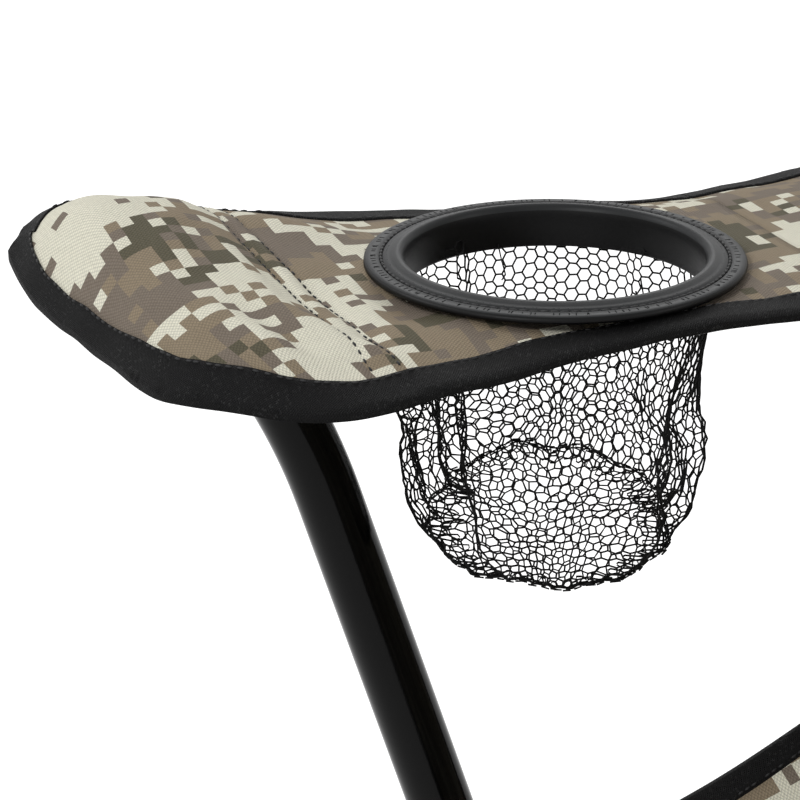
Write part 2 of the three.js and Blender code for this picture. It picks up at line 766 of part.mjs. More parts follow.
for (const corner of CORNERS) {
  const { sideName, endName } = corner;
  addFoot(corner);
  addLugRivets(corner, false, footPivotZ, `${endName}_foot_${sideName}`);
  if (endName === "rear") {
    addPole(corner);
    addSlider(corner);
    addLugRivets(corner, true, hubPivotZ, `rear_slider_${sideName}`);
  } else {
    addFrontHub(corner);
    addLugRivets(corner, true, hubPivotZ, `front_hub_${sideName}`);
    addPost(sideName);
  }
}
addCrossedPair("cross", "rear");
addCrossedPair("cross", "front");
addCrossedPair("side", "left");
addCrossedPair("side", "right");
addSling();
addStrap("left");
addStrap("right");
addArm("left", false);
addArm("right", true);
addCup(SIDES.right);

export default chair;
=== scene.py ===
import functools
import json
import math

import bmesh
import bpy
from mathutils import Matrix, Vector, noise
from mathutils.bvhtree import BVHTree


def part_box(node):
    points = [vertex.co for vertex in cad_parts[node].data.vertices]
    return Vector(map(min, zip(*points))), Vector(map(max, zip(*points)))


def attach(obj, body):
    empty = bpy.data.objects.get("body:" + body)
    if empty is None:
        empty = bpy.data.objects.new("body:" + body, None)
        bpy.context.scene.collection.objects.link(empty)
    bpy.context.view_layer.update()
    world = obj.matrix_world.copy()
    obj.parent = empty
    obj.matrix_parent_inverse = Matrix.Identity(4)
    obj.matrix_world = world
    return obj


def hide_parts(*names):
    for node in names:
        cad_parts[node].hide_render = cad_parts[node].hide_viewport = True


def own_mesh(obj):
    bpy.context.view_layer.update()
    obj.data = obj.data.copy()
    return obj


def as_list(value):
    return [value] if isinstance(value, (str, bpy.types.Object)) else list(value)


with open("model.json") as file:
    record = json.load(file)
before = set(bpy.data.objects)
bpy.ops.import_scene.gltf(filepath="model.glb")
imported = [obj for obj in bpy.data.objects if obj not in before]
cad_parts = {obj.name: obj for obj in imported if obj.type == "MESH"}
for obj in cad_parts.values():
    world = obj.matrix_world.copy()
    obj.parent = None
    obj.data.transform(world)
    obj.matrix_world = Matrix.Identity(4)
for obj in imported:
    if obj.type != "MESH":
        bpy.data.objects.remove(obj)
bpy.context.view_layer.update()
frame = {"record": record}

# The studio: a plain white floor and surroundings, soft light from large panels, and the camera
# beside the sitter's left arm, looking across the seat at the right arm and its cup ring.
CLOTH_UNDER_RING_TOP = 0.0035
ring_low, ring_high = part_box("cup_ring")
RING_CENTRE = (ring_low + ring_high) / 2
RING_CENTRE.z = ring_high.z - CLOTH_UNDER_RING_TOP
VIEW_AZIMUTH = math.radians(66)
VIEW_HEIGHT = math.radians(20)
CAMERA_DISTANCE = 1.3
FRAME_WIDTH = 0.2286
AIM_FROM_RING = Vector((-0.0057, -0.046, -0.037))
SENSOR = 36

towards_camera = Vector((math.sin(VIEW_AZIMUTH) * math.cos(VIEW_HEIGHT),
                         -math.cos(VIEW_AZIMUTH) * math.cos(VIEW_HEIGHT),
                         math.sin(VIEW_HEIGHT)))
camera = bpy.data.objects.new("camera", bpy.data.cameras.new("camera"))
bpy.context.collection.objects.link(camera)
camera.data.sensor_width = SENSOR
camera.data.lens = SENSOR * CAMERA_DISTANCE / FRAME_WIDTH
camera.location = RING_CENTRE + AIM_FROM_RING + towards_camera * CAMERA_DISTANCE
camera.rotation_euler = towards_camera.to_track_quat("Z", "Y").to_euler()
bpy.context.scene.camera = camera
bpy.context.scene.view_settings.view_transform = "Standard"


class Value:
    """A number that a material works out over a surface. Python's operators add its Math nodes."""

    def __init__(self, paint, socket):
        self.paint = paint
        self.socket = socket

    def maths(self, operation, *others):
        return self.paint.node("Math", {"operation": operation}, dict(enumerate((self, *others))))

    def __add__(self, other):
        return self.maths("ADD", other)

    def __sub__(self, other):
        return self.maths("SUBTRACT", other)

    def __rsub__(self, other):
        return self * -1 + other

    def __mul__(self, other):
        return self.maths("MULTIPLY", other)

    def __truediv__(self, other):
        return self.maths("DIVIDE", other)

    def __gt__(self, other):
        return self.maths("GREATER_THAN", other)

    def __lt__(self, other):
        return self.maths("LESS_THAN", other)

    __radd__ = __add__
    __rmul__ = __mul__


def tone(red, green, blue):
    """A colour as it looks on a screen, 0 to 255, as the light it stands for."""
    return tuple(((part / 255 + 0.055) / 1.055) ** 2.4 if part > 10 else part / 255 / 12.92
                 for part in (red, green, blue)) + (1,)


class Paint:
    """A finish: one material with its nodes, all added by node(), and the slot that it fills."""

    def __init__(self, name, slot=None, kept_in=bpy.data.materials, **shader_values):
        self.slot = slot
        self.material = kept_in.new(name)
        self.material.use_nodes = True
        self.tree = self.material.node_tree
        self.shader = self.tree.nodes.get("Principled BSDF")
        for socket, value in shader_values.items():
            self.shader.inputs[socket.replace("_", " ")].default_value = value

    def node(self, kind, settings=None, values=None, output=0):
        made = self.tree.nodes.new("ShaderNode" + kind)
        for name, value in (settings or {}).items():
            setattr(made, name, value)
        for name, value in (values or {}).items():
            self.feed(made.inputs[name], value)
        return Value(self, made.outputs[output])

    def feed(self, socket, value):
        if isinstance(value, Value):
            self.tree.links.new(value.socket, socket)
        else:
            socket.default_value = value

    def shade(self, socket, value):
        """Feeds one of the shader's own sockets."""
        self.feed(self.shader.inputs[socket], value)

    def uv(self):
        """The piece's own UV map, in metres of cloth, as two values."""
        return self.split(self.node("UVMap", {"uv_map": "cloth"}))[:2]

    def place(self):
        """Where a point lies on the object, in metres."""
        return self.node("TexCoord", None, None, 3)

    def split(self, vector):
        parts = self.node("SeparateXYZ", None, {0: vector})
        return [Value(self, socket) for socket in parts.socket.node.outputs]

    def vector(self, x, y, z=0):
        return self.node("CombineXYZ", None, {0: x, 1: y, 2: z})

    def mottle(self, vector, scale, detail=2, roughness=0.5):
        """Soft noise from 0 to 1."""
        return self.node("TexNoise", None, {"Vector": vector, "Scale": scale, "Detail": detail,
                                            "Roughness": roughness})

    def speckle(self, vector):
        """A number from 0 to 1 of its own at each point."""
        return self.node("TexWhiteNoise", None, {"Vector": vector})

    def mix(self, share, first, second):
        return self.node("Mix", {"data_type": "RGBA"}, {0: share, 6: first, 7: second}, 2)

    def two_tone(self, dark, light, scale, detail=2):
        """The finish's colour, wandering softly between two tones."""
        self.colour = self.mix(self.mottle(self.place(), scale, detail), tone(*dark), tone(*light))
        self.shade("Base Color", self.colour)
        return self

    def bump(self, height, distance, strength=1, over=None):
        values = {"Height": height, "Distance": distance, "Strength": strength}
        if over is not None:
            values["Normal"] = over
        return self.node("Bump", None, values)


FLOOR_SIZE = 12
FLOOR_GLOW = 0.62
WORLD_LIGHT = 0.4
LAMPS_AIM = Vector((0, 0, 0.5))
# The lamps: where each hangs, how wide it is, and its watts.
PANELS = [
    ((1.4, -2.4, 2.6), 0.7, 40),
    ((1.6, 1.9, 2.0), 0.45, 11),
    ((-1.6, -2.2, 2.4), 1.4, 24),
    ((-2.2, 0.8, 2.2), 1.4, 14),
]


def seen_directly(paint):
    """1 for what the camera sees, straight or in gloss and glass."""
    outputs = paint.node("LightPath").socket.node.outputs
    camera_ray, glossy_ray, glass_ray = (Value(paint, outputs[name]) for name in
                                         ("Is Camera Ray", "Is Glossy Ray", "Is Transmission Ray"))
    return camera_ray.maths("MAXIMUM", glossy_ray.maths("MAXIMUM", glass_ray))


def lay_floor():
    mesh = bmesh.new()
    bmesh.ops.create_grid(mesh, x_segments=1, y_segments=1, size=FLOOR_SIZE / 2)
    data = bpy.data.meshes.new("floor")
    mesh.to_mesh(data)
    mesh.free()
    floor = bpy.data.objects.new("floor", data)
    bpy.context.collection.objects.link(floor)
    white = Paint("floor_white", Base_Color=(0.8, 0.8, 0.8, 1), Roughness=0.9, Specular_IOR_Level=0)
    matt = Value(white, white.shader.outputs[0])
    glow = white.node("Emission", None, {"Color": (1, 1, 1, 1), "Strength": FLOOR_GLOW})
    glowing = white.node("AddShader", None, {0: glow, 1: matt})
    white.feed(white.tree.nodes["Material Output"].inputs[0],
               white.node("MixShader", None, {0: seen_directly(white), 1: matt, 2: glowing}))
    data.materials.append(white.material)


def light_world():
    """White to the eye, but dimmer as a light."""
    air = Paint("studio", kept_in=bpy.data.worlds)
    bpy.context.scene.world = air.material
    background = air.tree.nodes["Background"]
    background.inputs[0].default_value = (1, 1, 1, 1)
    air.feed(background.inputs[1], seen_directly(air) * (1 - WORLD_LIGHT) + WORLD_LIGHT)


def hang_panels():
    for number, (place, size, watts) in enumerate(PANELS):
        lamp = bpy.data.lights.new(f"panel_{number}", "AREA")
        lamp.shape = "DISK"
        lamp.size = size
        lamp.energy = watts
        panel = bpy.data.objects.new(lamp.name, lamp)
        bpy.context.collection.objects.link(panel)
        panel.location = place
        panel.rotation_euler = (Vector(place) - LAMPS_AIM).to_track_quat("Z", "Y").to_euler()


lay_floor()
light_world()
hang_panels()


# The arms. Each is a strip of coarse camouflage oxford, two layers with thin padding, that hangs
# between the rear pole and the arm post. At the front it is drawn over the post's bent end, and
# a tape of black grosgrain is folded over its edges and stitched on. Right and left are alike,
# but only the right one is cut out for the cup ring. Each is sewn in a front and a rear piece.
SIDES = {"left": 1, "right": -1}
BODY_OF = {node: body for body, nodes in frame["record"]["behaviour"]["bodies"].items() for node in nodes}
ARM_AXIS_X = abs(RING_CENTRE.x)
ARM_THICKNESS = 0.0024
# Rows from the pole to the front edge, each from the outer edge to the inner one: millimetres
# inboard and rearward of the ring's centre, and above its cloth.
ARM_ROWS = [
    [(-22, 437, 33), (-16, 437, 33), (-10, 437, 33), (-4, 437, 33), (2, 437, 33)],
    [(-40, 425, 30), (-26, 425, 32), (-10, 425, 32), (6, 425, 32), (20, 425, 30)],
    [(-55, 393, 25), (-33, 393, 28), (-10, 393, 28), (13, 393, 28), (35, 393, 25)],
    [(-58, 300, 13), (-34, 300, 18), (-9, 300, 18), (18, 300, 18), (41, 300, 13)],
    [(-60, 200, 3), (-34, 200, 8), (-7, 200, 9), (23, 200, 8), (48, 200, 3)],
    [(-61, 130, -3), (-34, 130, 2), (-3, 130, 3), (28, 130, 2.2), (54, 129, -1.8)],
    [(-62, 71, -8), (-36, 71, -3), (-1, 70, -1.5), (32, 69, -1.8), (59, 68, -4.4)],
    [(-67, 22, -6.5), (-40, 21, -2), (0, 20, -1.5), (35, 19, -2.3), (60, 18, -3.4)],
    [(-74, -28, -4), (-44, -30, -1.6), (0, -30, -1.5), (37, -31, -3), (60, -32, -8)],
    [(-82, -72, -0.5), (-52, -71, 6), (-5, -69, -2.5), (34, -68, -5), (61, -66, -11)],
    [(-87, -100, 3), (-60, -102, 14), (-8, -100, 7), (34, -95, -2), (60, -86, -13)],
    [(-89, -123, 4), (-62, -122, 14), (-12, -122, 3), (28, -115, -6), (54, -100, -14)],
    [(-82.5, -135.5, -4.8), (-58, -137.5, -8.5), (-11, -133, -13), (24, -129, -14), (45, -113, -13)],
]
ARM_LINES = [[Vector(place) / 1000 for place in line] for line in zip(*ARM_ROWS)]
ARM_SPLIT = 0.5
ARM_STEPS_ACROSS = 76
# Folds of the arm's front, each a line in millimetres from the ring, its width and its height: the
# pocket's two seams, and the pleats between it and the near edge.
ARM_FOLDS = [
    ((-82, -78), (56, -70), 1.3, -1.3),
    ((-82, -85), (58, -78), 1.3, -1.3),
    ((-82, -81.5), (57, -74), 2.2, 0.7),
    ((-70, -92), (40, -90), 4, 1.5),
    ((-20, -62), (52, -66), 5, 1.6),
    ((10, -92), (56, -66), 4, 2.2),
    ((4, -104), (52, -84), 4, -1.8),
    ((-4, -116), (46, -96), 5, 1.8),
    ((-50, -98), (-10, -116), 9, 1.6),
    ((-66, -88), (-30, -60), 7, -1.5),
]


def clamp(value, low=0, high=1):
    return min(max(value, low), high)


def smooth_line(points, share):
    """The point at a share of a smooth line drawn through all the points."""
    spans = len(points) - 1
    along = clamp(share) * spans
    first = min(int(along), spans - 1)
    t = along - first
    here, there = points[first], points[first + 1]
    before = points[first - 1] if first else here * 2 - there
    after = points[first + 2] if first + 2 <= spans else there * 2 - here
    gap_before, gap, gap_after = (math.sqrt((b - a).length) for a, b in
                                  ((before, here), (here, there), (there, after)))
    leave = ((here - before) / gap_before - (there - before) / (gap_before + gap)) * gap + (there - here)
    arrive = ((after - there) / gap_after - (after - here) / (gap + gap_after)) * gap + (there - here)
    square, cube = t * t, t ** 3
    return (here * (2 * cube - 3 * square + 1) + leave * (cube - 2 * square + t)
            + there * (3 * square - 2 * cube) + arrive * (cube - square))


@functools.lru_cache(maxsize=None)
def arm_row(along):
    return [smooth_line(line, along) for line in ARM_LINES]


def fold_height(place, start, end, width, height):
    """How high a soft fold of the cloth stands at a place, in metres."""
    start, end, at = Vector(start), Vector(end), Vector(place[:2]) * 1000
    share = clamp((at - start).dot(end - start) / (end - start).length_squared)
    away = (at - start.lerp(end, share)).length
    fade = math.sin(math.pi * clamp(share, 0.05, 0.95))
    return height / 1000 * fade * math.exp(-(away / width) ** 2)


def length_of(line):
    return sum((there - here).length for here, there in zip(line, line[1:]))


@functools.lru_cache(maxsize=None)
def arm_run(along, across, steps=160):
    """How far along the cloth a place lies from the split, in metres, rearward counting up."""
    run = length_of([smooth_line(arm_row(ARM_SPLIT + (along - ARM_SPLIT) * k / steps), across)
                     for k in range(steps + 1)])
    return math.copysign(run, ARM_SPLIT - along)


def arm_local(along, across):
    place = smooth_line(arm_row(along), across)
    place.z += 0.0012 * noise.noise(place * 38) + 0.0005 * noise.noise(place * 95)
    for fold in ARM_FOLDS:
        place.z += fold_height(place, *fold)
    return place


def arm_point(side, along, across):
    place = arm_local(along, across)
    return Vector((side * (ARM_AXIS_X - place.x), RING_CENTRE.y + place.y, RING_CENTRE.z + place.z))


def laid(along, across, place, flat, closed=False):
    """A grid of faces whose corners place() puts. A closed one meets along its long sides and is
    capped. flat() gives each corner's place on the flat cloth for the UV map."""
    mesh = bmesh.new()
    bmesh.ops.create_grid(mesh, x_segments=along, y_segments=across, size=0.5, calc_uvs=True)
    uv = mesh.loops.layers.uv.verify()
    for face in mesh.faces:
        for loop in face.loops:
            loop[uv].uv = flat(loop.vert.co.x + 0.5, loop.vert.co.y + 0.5)
    for corner in mesh.verts:
        corner.co = place(corner.co.x + 0.5, corner.co.y + 0.5)
    if closed:
        bmesh.ops.remove_doubles(mesh, verts=mesh.verts, dist=1e-6)
        ends = [edge for edge in mesh.edges if edge.is_boundary]
        bmesh.ops.holes_fill(mesh, edges=ends, sides=0)
        bmesh.ops.recalc_face_normals(mesh, faces=mesh.faces)
    return mesh


def make_piece(name, mesh, finish, smooth=True):
    """The mesh as an object in its finish."""
    data = bpy.data.meshes.new(name)
    mesh.to_mesh(data)
    mesh.free()
    if data.uv_layers:
        data.uv_layers[0].name = "cloth"
    data.materials.append(finish.material)
    data.shade_smooth() if smooth else data.shade_flat()
    piece = bpy.data.objects.new(name, data)
    bpy.context.collection.objects.link(piece)
    return piece


def fit(piece, node, replaces=True):
    """Lets the piece ride with a node of the frame, and take its place unless it is a trim on it."""
    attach(piece, BODY_OF[node])
    if replaces:
        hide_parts(node)


def fit_trim(name, mesh, finish, node, smooth=True):
    trim = make_piece(name, mesh, finish, smooth)
    fit(trim, node, replaces=False)
    return trim


def apply_modifiers(piece):
    """Makes the piece's modifiers part of its mesh."""
    shaped = piece.evaluated_get(bpy.context.evaluated_depsgraph_get())
    data = bpy.data.meshes.new_from_object(shaped)
    piece.modifiers.clear()
    piece.data = data


def thicken(piece, thickness, offset=0):
    shell = piece.modifiers.new("thickness", "SOLIDIFY")
    shell.thickness = thickness
    shell.offset = offset
    apply_modifiers(piece)


def flat_size(place, rows=24, columns=8):
    """The width, length and area of the cloth laid flat, from lengths along and across it."""
    length = length_of([place(k / rows, 0.5) for k in range(rows + 1)])
    widths = [length_of([place(k / rows, j / columns) for j in range(columns + 1)]) for k in range(rows + 1)]
    return (max(widths), length), sum(widths) / len(widths) * length


def edge_line(place, route, spacing, smoothings=3):
    """Evenly spaced points along the cloth's edge, which follows a route of shares."""
    fine = 240
    dense = []
    for (along_a, across_a), (along_b, across_b) in zip(route, route[1:]):
        dense += [place(along_a + (along_b - along_a) * k / fine, across_a + (across_b - across_a) * k / fine)
                  for k in range(fine)]
    dense.append(place(*route[-1]))
    line = [dense[0]]
    left = spacing
    for here, there in zip(dense, dense[1:]):
        gap = (there - here).length
        done = 0
        while gap - done >= left:
            done += left
            line.append(here.lerp(there, done / gap))
            left = spacing
        left -= gap - done
    line.append(dense[-1])
    for _ in range(smoothings):
        line = [line[0]] + [(a + b * 2 + c) / 4 for a, b, c in zip(line, line[1:], line[2:])] + [line[-1]]
    return line


# The tape's section, from the cloth's edge: how far in and how high each point lies, as shares of
# what shows and of the tape's height over the cloth. The lower half is the same turned over.
TAPE_DEPTHS = [1, 0.85, 0.7, 0.5, 0.3, 0.12, -0.08]
TAPE_HEIGHTS = [0.85, 1, 1, 1, 1, 1, 0.5]
TAPE_THICKNESS = 0.0006
TAPE_LIFT = 0.0002
TAPE_PUFF = 0.12
TAPE_REACH_STEPS = 24
TAPE_STITCHED_AT = 0.45
ARM_TAPE_SHOWING = 0.0125
ARM_TAPE_STEP = 0.0015
ARM_TAPE_AT_SIDES = 0.9
ARM_TAPE_MORE_IN_FRONT = 0.27
ARM_FRONT_FROM_RING = 0.085
ARM_FRONT_DEPTH = 0.03


def clear_of(shell, point):
    """The point, moved out where it lies in the cloth or too close to it."""
    at, facing, _, _ = shell.find_nearest(point)
    return at + facing * TAPE_THICKNESS if (point - at).dot(facing) < TAPE_THICKNESS else point


def walk_inward(surface, start, face, way, reach):
    """Steps from the cloth's edge inwards, each laid back on to the cloth."""
    trail = [(start, face)]
    at = start
    for _ in range(TAPE_REACH_STEPS):
        at, facing, _, _ = surface.find_nearest(at + way * (reach / TAPE_REACH_STEPS))
        if facing.dot(face) < 0:
            facing = -facing
        way = (way - facing * way.dot(facing)).normalized()
        trail.append((at, facing))
    return trail


def arm_tape_showing(point):
    """The tape is folded evenly along the sides, and further over the cloth at the front."""
    front = clamp((RING_CENTRE.y - ARM_FRONT_FROM_RING - point.y) / ARM_FRONT_DEPTH)
    return ARM_TAPE_SHOWING * (ARM_TAPE_AT_SIDES + ARM_TAPE_MORE_IN_FRONT * front)


def edge_tape(sheet, cloth, line, thickness, step, showing, showing_at=None):
    """A tape folded over the cloth along the line of its edge: the tape's mesh, and the places of
    its stitches. It lies on the cloth wherever the cloth goes."""
    shell = BVHTree.FromObject(cloth, bpy.context.evaluated_depsgraph_get())
    depths = TAPE_DEPTHS + TAPE_DEPTHS[::-1]
    heights = TAPE_HEIGHTS + [-height for height in TAPE_HEIGHTS[::-1]]
    lift = thickness / 2 + TAPE_THICKNESS + TAPE_LIFT
    last = len(line) - 1
    middle = last // 2
    way = line[middle + 3] - line[middle - 3]
    face = sheet.find_nearest(line[middle])[1]
    heart = sum(line, Vector()) / len(line)
    inward_sign = 1 if face.cross(way).dot(heart - line[middle]) > 0 else -1
    sections = []
    for k, point in enumerate(line):
        way = (line[min(k + 3, last)] - line[max(k - 3, 0)]).normalized()
        face = sheet.find_nearest(point)[1]
        inward = face.cross(way).normalized() * inward_sign
        reach = showing_at(point) if showing_at else showing
        trail = walk_inward(sheet, point, face, inward, reach)
        section = []
        for depth, height in zip(depths, heights):
            on_cloth, facing = trail[round(max(depth, 0) * TAPE_REACH_STEPS)]
            puff = 1 + TAPE_PUFF * noise.noise(on_cloth * 70)
            section.append(clear_of(shell, on_cloth + facing * (height * lift * puff)
                                    + inward * min(depth, 0) * reach))
        sections.append(section)
    around = len(depths)


    def place(along, across):
        return sections[round(along * last)][round(across * around) % around]

    def flat(along, across):
        return along * last * step, across * 2 * showing

    tape = laid(last, around, place, flat, closed=True)
    return tape, [(section[0].lerp(section[1], TAPE_STITCHED_AT), (section[1] - section[-2]).normalized())
                  for section in sections]


STITCH_LENGTH = 0.0024
STITCH_PITCH = 0.0034
STITCH_THREAD = 0.00042


def sewn(places):
    """A row of stitches: small beads of thread along a line of places, each with the way it faces."""
    mesh = bmesh.new()
    since = 0
    for (start, facing), (end, _) in zip(places, places[1:]):
        since += (end - start).length
        if since < STITCH_PITCH:
            continue
        since -= STITCH_PITCH
        way = (end - start).normalized()
        side = facing.cross(way).normalized()
        turn = Matrix((way, side, facing)).transposed().to_4x4()
        size = Matrix.Diagonal((STITCH_LENGTH / 2, STITCH_THREAD, STITCH_THREAD, 1))
        bmesh.ops.create_icosphere(mesh, subdivisions=1, radius=1,
                                   matrix=Matrix.Translation(start) @ turn @ size)
    return mesh


PRINT_CELL = 0.0043
OXFORD_YARN = 0.00092
GROSGRAIN_YARN = 0.0008


def camouflage(paint):
    """Blocks of four tones in drifting patches, over a coarse basket weave whose yarns vary in tone at random
    and whose gaps between the yarns are darkened as painted shade.
    """
    across, along = paint.uv()
    column = (across / PRINT_CELL).maths("FLOOR")
    row = (along / PRINT_CELL).maths("FLOOR")
    scatter = paint.speckle(paint.vector(column, row)) - 0.5

    def patch(stretch, scale, seed, share):
        at = paint.vector(column * stretch * PRINT_CELL, row * PRINT_CELL, seed)
        return (paint.mottle(at, scale, 3, 0.55) + scatter * 0.14) > share

    taupe, tan = tone(124, 113, 101), tone(143, 129, 108)
    cream, olive = tone(229, 226, 208), tone(90, 85, 68)
    stray = paint.speckle(paint.vector(column, row, 3.7))
    colour = paint.mix(patch(1.0, 40, 1.7, 0.5), tan, taupe)
    colour = paint.mix(patch(0.8, 38, 5.1, 0.565), colour, olive)
    colour = paint.mix(patch(0.75, 27, 9.4, 0.53), colour, cream)
    colour = paint.mix(stray > 0.94, colour, taupe)
    colour = paint.mix(stray < 0.045, colour, cream)
    weft, warp = ((way * (math.pi / OXFORD_YARN)).maths("SINE")
                  for way in (across * 0.8 + along * 0.6, along * 0.8 - across * 0.6))
    weft_round, warp_round = weft.maths("ABSOLUTE"), warp.maths("ABSOLUTE")
    over = (weft * warp) > 0
    weave = (over * weft_round * (warp_round * 0.5 + 0.5)
             + (1 - over) * warp_round * (weft_round * 0.5 + 0.5))
    slub = paint.mottle(paint.vector(across * 300, along * 1100), 1, 2)
    # Painted shade: the colour darkens in the gaps between the weave's yarns; the slub part is the yarns' own
    # uneven tone.
    grain = weave * 0.42 + (slub - 0.5) * 0.2 + 0.72
    slub_tone_and_gap_shade = paint.node("CombineColor", None, {0: grain, 1: grain, 2: grain})
    paint.shade("Base Color", paint.node("Mix", {"data_type": "RGBA", "blend_type": "MULTIPLY"},
                                         {0: 1.0, 6: colour, 7: slub_tone_and_gap_shade}, 2))
    crease = paint.bump(paint.mottle(paint.place(), 60, 3), 0.0012, 0.35)
    paint.shade("Normal", paint.bump(weave + slub * 0.5, 0.00025, 0.8, crease))
    return paint


def woven_tape(paint):
    """A close diagonal weave of black yarn, coloured lighter on the yarns' crowns and darker in the gaps as
    painted shade, with painted glints: grey specks on the crowns in scattered patches.
    """
    along, across = paint.uv()
    slant = (along + across) * (math.pi / GROSGRAIN_YARN)
    counter = (along - across) * (math.pi / GROSGRAIN_YARN)
    crowns = slant.maths("SINE").maths("ABSOLUTE") * counter.maths("SINE").maths("ABSOLUTE")
    fluff = paint.mottle(paint.place(), 1100, 2)
    # Painted glints: in scattered patches, specks on the yarns' crowns are coloured grey as highlights.
    glint_patches = (paint.mottle(paint.place(), 120, 2) - 0.35).maths("MAXIMUM", 0) * 3
    painted_glints = (paint.mottle(paint.vector(along * 900, across * 900), 1, 1) > 0.6) * crowns * glint_patches
    # Painted shade: the gaps between the yarns' crowns are coloured darker than the crowns, with random fluff
    # mixed in.
    shade = paint.mix(crowns * 0.6 + fluff * 0.4, tone(2, 2, 3), tone(15, 15, 15))
    paint.shade("Base Color", paint.mix(painted_glints * 0.85, shade, tone(66, 66, 66)))
    paint.shade("Normal", paint.bump(crowns + fluff * 0.4, 0.0003, 0.9))
    return paint


CAMO = camouflage(Paint("camo_oxford", "camo_cloth", Roughness=0.8, Specular_IOR_Level=0.3))
TAPE = woven_tape(Paint("black_grosgrain", "webbing", Roughness=0.7, Specular_IOR_Level=0.15))
THREAD = Paint("black_thread", "webbing", Roughness=0.6, Specular_IOR_Level=0.4)
THREAD.two_tone((8, 8, 9), (28, 28, 29), 1500)
# The pocket's two stitched lines, in millimetres from the ring.
POCKET_SEAMS = [((-76, -78), (50, -70)), ((-76, -85), (50, -78))]
POCKET_SEAM_POINTS = 160
THREAD_OVER_CLOTH = 0.0001
RING_HOLE = 0.0452


def pocket_row(side, sheet, start, end):
    """Where the stitches of one pocket seam lie."""
    places = []
    for k in range(POCKET_SEAM_POINTS):
        x, y = Vector(start).lerp(Vector(end), k / (POCKET_SEAM_POINTS - 1)) / 1000
        above = Vector((side * (ARM_AXIS_X - x), RING_CENTRE.y + y, RING_CENTRE.z + 0.05))
        at, facing, _, _ = sheet.ray_cast(above, Vector((0, 0, -1)))
        if at:
            facing = facing if facing.z > 0 else -facing
            places.append((at + facing * (ARM_THICKNESS / 2 + THREAD_OVER_CLOTH), facing))
    return places


def cut_ring_hole(cloth):
    """Cuts the round hole for the ring's collar through the arm cloth."""
    mesh = bmesh.new()
    bmesh.ops.create_cone(mesh, cap_ends=True, segments=96, radius1=RING_HOLE, radius2=RING_HOLE, depth=0.06,
                          matrix=Matrix.Translation(RING_CENTRE))
    cutter = make_piece("hole_cutter", mesh, CAMO)
    cut = cloth.modifiers.new("hole", "BOOLEAN")
    cut.object = cutter
    cut.solver = "EXACT"
    apply_modifiers(cloth)
    bpy.data.objects.remove(cutter)


def sew_arm(part, side_name, low, high, steps, route):
    side = SIDES[side_name]
    node = f"arm_{part}_{side_name}"

    def place(along, across):
        return arm_point(side, low + (high - low) * along, across)

    def flat(along, across):
        row = low + (high - low) * along
        return arm_local(row, across).x, arm_run(round(row, 5), 0.5)

    size, area = flat_size(place)
    mesh = laid(steps, ARM_STEPS_ACROSS, place, flat)
    sheet = BVHTree.FromBMesh(mesh)
    cloth = make_piece(f"arm_cloth_{part}_{side_name}", mesh, CAMO)
    thicken(cloth, ARM_THICKNESS)
    tape, places = edge_tape(sheet, cloth, edge_line(place, route, ARM_TAPE_STEP), ARM_THICKNESS,
                             ARM_TAPE_STEP, ARM_TAPE_SHOWING, arm_tape_showing)
    if part == "front":
        for row, seam in enumerate(POCKET_SEAMS):
            stitches = sewn(pocket_row(side, sheet, *seam))
            fit_trim(f"arm_pocket_stitches_{row}_{side_name}", stitches, THREAD, node)
        if side_name == "right":
            cut_ring_hole(cloth)
    fit(cloth, node)
    trims = [fit_trim(f"arm_binding_{part}_{side_name}", tape, TAPE, node),
             fit_trim(f"arm_stitches_{part}_{side_name}", sewn(places), THREAD, node)]


for side_name in ("right", "left"):
    sew_arm("front", side_name, ARM_SPLIT, 1, 110, [(0, 0), (1, 0), (1, 1), (0, 1)])
    sew_arm("rear", side_name, 0, ARM_SPLIT, 90, [(1, 1), (0, 1), (0, 0), (1, 0)])


# The cup ring: satin black plastic, moulded in one, with a flat flange on the cloth, a rolled inner
# lip and a short collar through the arm. It is sewn on through a groove in its flange.
RING_OUTER = 0.055
COLLAR_FOOT = ring_low.z + 0.003
FLANGE_LOW = RING_CENTRE.z - 0.0002
FLANGE_TOP = ring_high.z - 0.0005
LIP_FOOT = FLANGE_TOP - 0.0012
RING_TURNS = 180
GROOVE_RADIUS = 0.0499
GROOVE_THREAD = FLANGE_TOP - 0.00095
# Half the ring's section, from the collar's foot up inside, over the lip and the flange, and back:
# how far out each point lies and how far above the level it belongs to, in millimetres.
RING_SECTION = [
    (COLLAR_FOOT, [(43.3, 0), (43, 0.6)]),
    (FLANGE_TOP, [(43, -3.5), (43.2, -1.4), (43.8, -0.2), (44.7, 0.5), (45.8, 0.4), (46.9, -0.2), (48, -0.5),
                  (49.1, -0.7), (49.5, -1.2), (50.3, -1.2), (50.7, -0.8), (53.6, -0.9), (54.6, -1.4),
                  (55, -2.3)]),
    (FLANGE_LOW, [(54.7, 0.2), (44.6, 0)]),
    (COLLAR_FOOT, [(44.6, 0.5), (44.2, 0)]),
]
RING_STITCHES = 110
RING_TICKS = 150
# The two rings of ticks: how far out and how high they lie, and how long they are.
TICK_RINGS = [(RING_OUTER - 0.0029, FLANGE_TOP - 0.00087, 1),
              (GROOVE_RADIUS - 0.0022, FLANGE_TOP - 0.0006, 0.7)]


def spun(profile, turns, centre=Vector(), closed=True):
    """A section of (radius, height) points, spun once round an upright axis. One that isn't closed
    starts and ends on the axis."""
    mesh = bmesh.new()
    corners = [mesh.verts.new((centre.x + radius, centre.y, height)) for radius, height in profile]
    following = corners[1:] + corners[:1] if closed else corners[1:]
    edges = [mesh.edges.new(pair) for pair in zip(corners, following)]
    bmesh.ops.spin(mesh, geom=corners + edges, cent=centre, axis=(0, 0, 1), angle=2 * math.pi, steps=turns,
                   use_merge=True)
    bmesh.ops.remove_doubles(mesh, verts=mesh.verts, dist=1e-6)
    bmesh.ops.recalc_face_normals(mesh, faces=mesh.faces)
    return mesh


